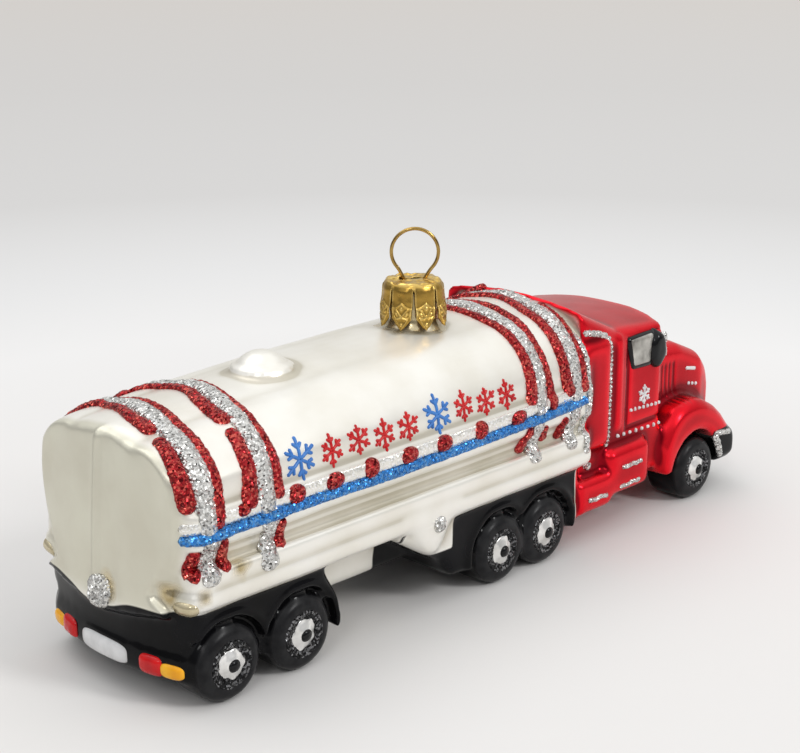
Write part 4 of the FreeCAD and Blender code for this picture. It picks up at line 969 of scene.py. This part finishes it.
# Cab lines, door, steps and bumper
wide, thin, door_dots, step_parts, bracket_parts = [], [], [], [], []
for side in BOTH:
    wide += strokes_on_side([
        [(21.4, 43.6, 1.2, 0.4), (22.6, 41.6, 1.5, 0.6), (22.7, 37, 1.6, 0.7), (22.4, 30.5, 1.6, 0.75),
         (22.3, 25, 1.5, 0.6), (22, 19.6, 1.5, 0.6)],
        [(24, 19, 1.2, 0.5), (24.6, 16.4, 1.5, 0.55), (26.9, 15, 1.8, 0.55)],
        [(23.6, 42.6, 1.2, 0.45), (28, 41.7, 1.3, 0.5), (30.8, 40.6, 1.2, 0.45)]], side, 81, 0.13)
    edge_line = [(31, 40.2), (31.5, 37.8), (31.8, 33.6), (31.8, 29.6), (31.6, 24), (31.4, 18.6)]
    thin += dotted(edge_line, 0.9, 0.85, 0.45, side, 83)
    door_dots += dotted([(39.4, 23.8), (49, 23.2)], 0.75, 1.6, 0.4, side, 84)
    door_dots += dotted([(35.3, 19.4), (49.3, 18.8)], 0.8, 1.75, 0.4, side, 85)
    step_parts += strokes_on_side([
        wave_stroke((34, 13.6), (40.6, 13.6), 2.5),
        wave_stroke((33.6, 9.6), (40.2, 9.9), 2),
        wave_stroke((23.5, 9.4), (29.8, 9.3), 2)], side, 87, 0.08)
    step_parts += strokes_on_side([
        [(66.6, 12.7, 1.5, 0.45), (68.2, 10.2, 1.6, 0.5), (69.3, 6.9, 1.3, 0.4)],
        [(66.4, 12.8, 1.2, 0.4), (69, 12.5, 1.2, 0.4), (72.6, 11.9, 1.1, 0.35)]], side, 89, 0.08)
    bracket_parts += hand_dots([(-19, 17)], (2.9, 3.1), 0.8, side, 91)
piled("wide_cab_bead", wide, silver_glitter, "cab_lines")
piled("cab_drops", thin, silver_glitter, "panel_lines")
piled("door_drops", door_dots, white_enamel)
piled("step_strokes", step_parts, silver_glitter)
piled("bracket_drops", bracket_parts, silver_glitter, "bracket_dots")

# Windows and mirrors
outer = corners_round([(37.7, 38.8), (46.9, 38.8), (45.7, 31.8), (39, 32.1)], 0.7)
inner = corners_round([(38.4, 38.3), (45.9, 38.4), (44.9, 32.7), (39.5, 32.8)], 0.35)
mirror = corners_round([(44.5, 33), (46.9, 30.6), (49.7, 33.2), (48.8, 37.4), (46.8, 39.5), (44.8, 37)], 0.8)
mirror_line = [(48.7, 38, 0.9, 0.5), (49.6, 35.4, 0.8, 0.5), (49.7, 32.8, 0.6, 0.4)]
piled("window_edges", on_both(outer, 0.4, 101, 0.03, 1.2, square=12), black_enamel, "window_frames")
piled("window_faces", on_both(inner, 0.22, 102, 0.03, 1, square=8, lift=0.3), pane_enamel, "window_panes")
piled("mirror_pads", on_both(mirror, 1.5, 103, 0.03, 1.5, square=5), black_enamel, "mirrors")
piled("mirror_edges", [bead(on_side(mirror_line, side), 105, 0.1, 0.35, 14, 1, 0.4, 0.7) for side in BOTH],
      silver_glitter)

# Rear lamps, plate and clump
reds = [pad(*behind(rounded((y, 6.9), (2.3, 1.75), 3.6)), 0.75, 111, 0.04, 1.2, square=3) for y in (-11, 10)]
ambers = [pad(*behind(rounded((y, 6.7), (2.1, 1.25), 3.2)), 0.6, 112, 0.04, 1.2, square=3)
          for y in (-15, 14.1)]
plate = [pad(*behind(rounded((-0.1, 6.95), (5.9, 1.75), 4, 72)), 0.6, 113, 0.03, 1.5, square=4)]
clump = [pad(*behind(rounded((-0.9, 17), (2.5, 2.9), 2.2)), 1.1, 114, 0.16, 0.45, square=2.2)]
piled("rear_red_pads", reds, red_enamel, "red_lamps")
piled("rear_amber_pads", ambers, amber_enamel, "amber_lamps")
piled("plate_pad", plate, white_enamel, "blank_plate")
piled("seam_glue", clump, silver_glitter, "seam_clump")

# Bare glass buttons low on the rear corners, laid from 40 out along the corner's slant
buttons = []
for side in BOTH:
    edge = rounded((0, 0), (2.1, 1.3), 2.4, 40)
    slid = edge[:, 0] * SLANT
    spots = columns(slid - 73.6 - 40 * SLANT, (slid + 18 + 40 * SLANT) * side, edge[:, 1] + 17.9)
    buttons.append(pad(spots, (SLANT, -SLANT * side, 0), 0.7, 116, 0.04, 1.2))
piled("corner_buttons", buttons, bare_glass)

# Wheels
rings, discs, middles = [], [], []
for axle in AXLES:
    rings += on_both(rounded((axle, TYRE_RADIUS), (4.1, 4.1), 2, 56), 0.32, 121, 0.12, 0.4, square=6)
    disc = uneven(rounded((axle, TYRE_RADIUS), (2.6, 2.6), 2), axle)
    discs += on_both(disc, 0.42, 122, 0.03, 1, square=3, lift=0.22)
    middle = rounded((axle + 0.1, TYRE_RADIUS - 0.1), (1.2, 1.1), 2, 32)
    middles += on_both(middle, 0.42, 123, 0.03, 0.8, lift=0.6, rings=7)
piled("wheel_glitter", rings, black_glitter)
piled("hub_discs", discs, silver_enamel)
piled("hub_middles", middles, black_enamel)

# Snow crystals
blue_marks, red_marks, white_marks = [], [], []
for side in BOTH:
    for index, place in enumerate((-50.5, -18.5)):
        blue_marks += crystal(place, 36.7, 3.5, side, 131 + index, 0.62, 0.3)
    for index, place in enumerate((-43.5, -37.4, -31.6, -25.8, -11.8, -6, -0.4)):
        red_marks += crystal(place, 36.4 + 0.3 * math.sin(index * 2), 2.7, side, 141 + index, 0.55, 0.28)
    white_marks += crystal(43.7, 26.1, 2.1, side, 151, 0.5, 0.25)
    for index, place in enumerate(((65, 22.9), (66.3, 22.6), (67.6, 22.3))):
        dot = rounded(place, (0.42, 0.42), 2, 20)
        white_marks.append(pad(*beside(dot, side), 0.3, 155 + index, rings=5))
    white_marks += strokes_on_side([[(63.6, 26.5, 0.8, 0.25), (67.4, 25.7, 0.8, 0.25)]], side, 158, 0.03)
piled("blue_crystals", blue_marks, blue_paint)
piled("red_crystals", red_marks, red_paint)
piled("white_crystals", white_marks, white_enamel)

# Cap and wire
finished(crown(), cap_gold, "cap", "crown_cap")
piled("bent_wire", [hanger()], wire_gold, "hanger_wire", body="cap")


# Stage
def floor_paper():
    """Matt paper, a little darker far from the truck, as the photo's is: painted shade, as if less light
    reached it there.
    """
    material, tree, shader = nodes_of("floor_paper")
    away = add(tree, "VectorMath", [(0, place_of(tree))], operation="LENGTH").outputs["Value"]
    share = ranged(tree, away, From_Min=0.1, From_Max=1.5)
    # painted shade: the paper's colour falls off with distance from the truck
    shade = ramp(tree, share, [(0.0, (0.72, 0.705, 0.69)), (0.05, (0.745, 0.735, 0.725)),
                               (0.10, (0.69, 0.685, 0.68)), (0.20, (0.59, 0.58, 0.57)),
                               (0.45, (0.58, 0.565, 0.55)), (1.0, (0.61, 0.58, 0.55))])
    dress(tree, shader, Base_Color=shade, Roughness=0.9, Specular_IOR_Level=0.0)
    return material


def floor_plane(edge):
    corners = [(-edge, -edge, 0), (edge, -edge, 0), (edge, edge, 0), (-edge, edge, 0)]
    thing = fresh_object("floor", mesh_from("floor", corners, [(0, 1, 2, 3)]))
    thing.data.materials.append(floor_paper())


def lamp(name, kind, place, energy, **values):
    """A light of that kind at a place, turned to the truck."""
    light = bpy.data.lights.new(name, kind)
    light.energy = energy
    for key, value in values.items():
        setattr(light, key, value)
    thing = fresh_object(name, light)
    thing.location = place
    thing.rotation_euler = (-Vector(place)).to_track_quat("-Z", "Y").to_euler()


def world_light():
    """A pale room: bright overhead and ahead of the viewer, dim behind."""
    world = bpy.data.worlds.new("studio")
    bpy.context.scene.world = world
    world.use_nodes = True
    tree = world.node_tree
    way = add(tree, "TexCoord").outputs["Generated"]
    parts = add(tree, "SeparateXYZ", [(0, way)])
    above = ramp(tree, parts.outputs[2], [(0.0, (0.22, 0.22, 0.23)), (0.25, (0.26, 0.26, 0.27)),
                                          (0.5, (0.60, 0.61, 0.62)), (0.72, (0.98, 0.99, 1.0))])
    facing = add(tree, "VectorMath", [(0, way), (1, (0.80, 0.35, 0.48))], operation="DOT_PRODUCT")
    ahead = ramp(tree, facing.outputs["Value"], [(0.15, (0.0, 0.0, 0.0)), (0.7, (0.58, 0.575, 0.56))])
    glow = add(tree, "Mix", [(0, 1), (6, above), (7, ahead)],
               data_type="RGBA", blend_type="LIGHTEN")
    dress(tree, tree.nodes["Background"], Color=glow.outputs[2], Strength=1.06)


def camera():
    """The photograph's view: the place and turn that fit its measured points."""
    azimuth, elevation = math.radians(CAMERA_TURN), math.radians(CAMERA_RISE)
    back = Vector((math.sin(azimuth) * math.cos(elevation), -math.cos(azimuth) * math.cos(elevation),
                   math.sin(elevation)))
    data = bpy.data.cameras.new("camera")
    data.sensor_width = SENSOR_WIDTH
    data.lens = FOCAL_PIXELS / PHOTO_WIDTH * SENSOR_WIDTH
    data.clip_start = 0.01
    thing = fresh_object("camera", data)
    thing.location = Vector(CAMERA_PLACE) * MM
    thing.rotation_euler = (-back).to_track_quat("-Z", "Y").to_euler()
    bpy.context.scene.camera = thing


floor_plane(3.0)
world_light()
lamp("high_sun", "SUN", (-0.1, 0.45, 1.0), 0.45, angle=math.radians(40))
for name, place, energy, width, height in (("left_window", (-2.2, -1.4, 1.9), 9, 0.5, 0.8),
                                           ("right_window", (0.8, -2.6, 1.9), 37, 0.6, 0.9)):
    lamp(name, "AREA", place, energy, shape="RECTANGLE", size=width, size_y=height)
camera()
bpy.context.scene.view_settings.view_transform = "Standard"
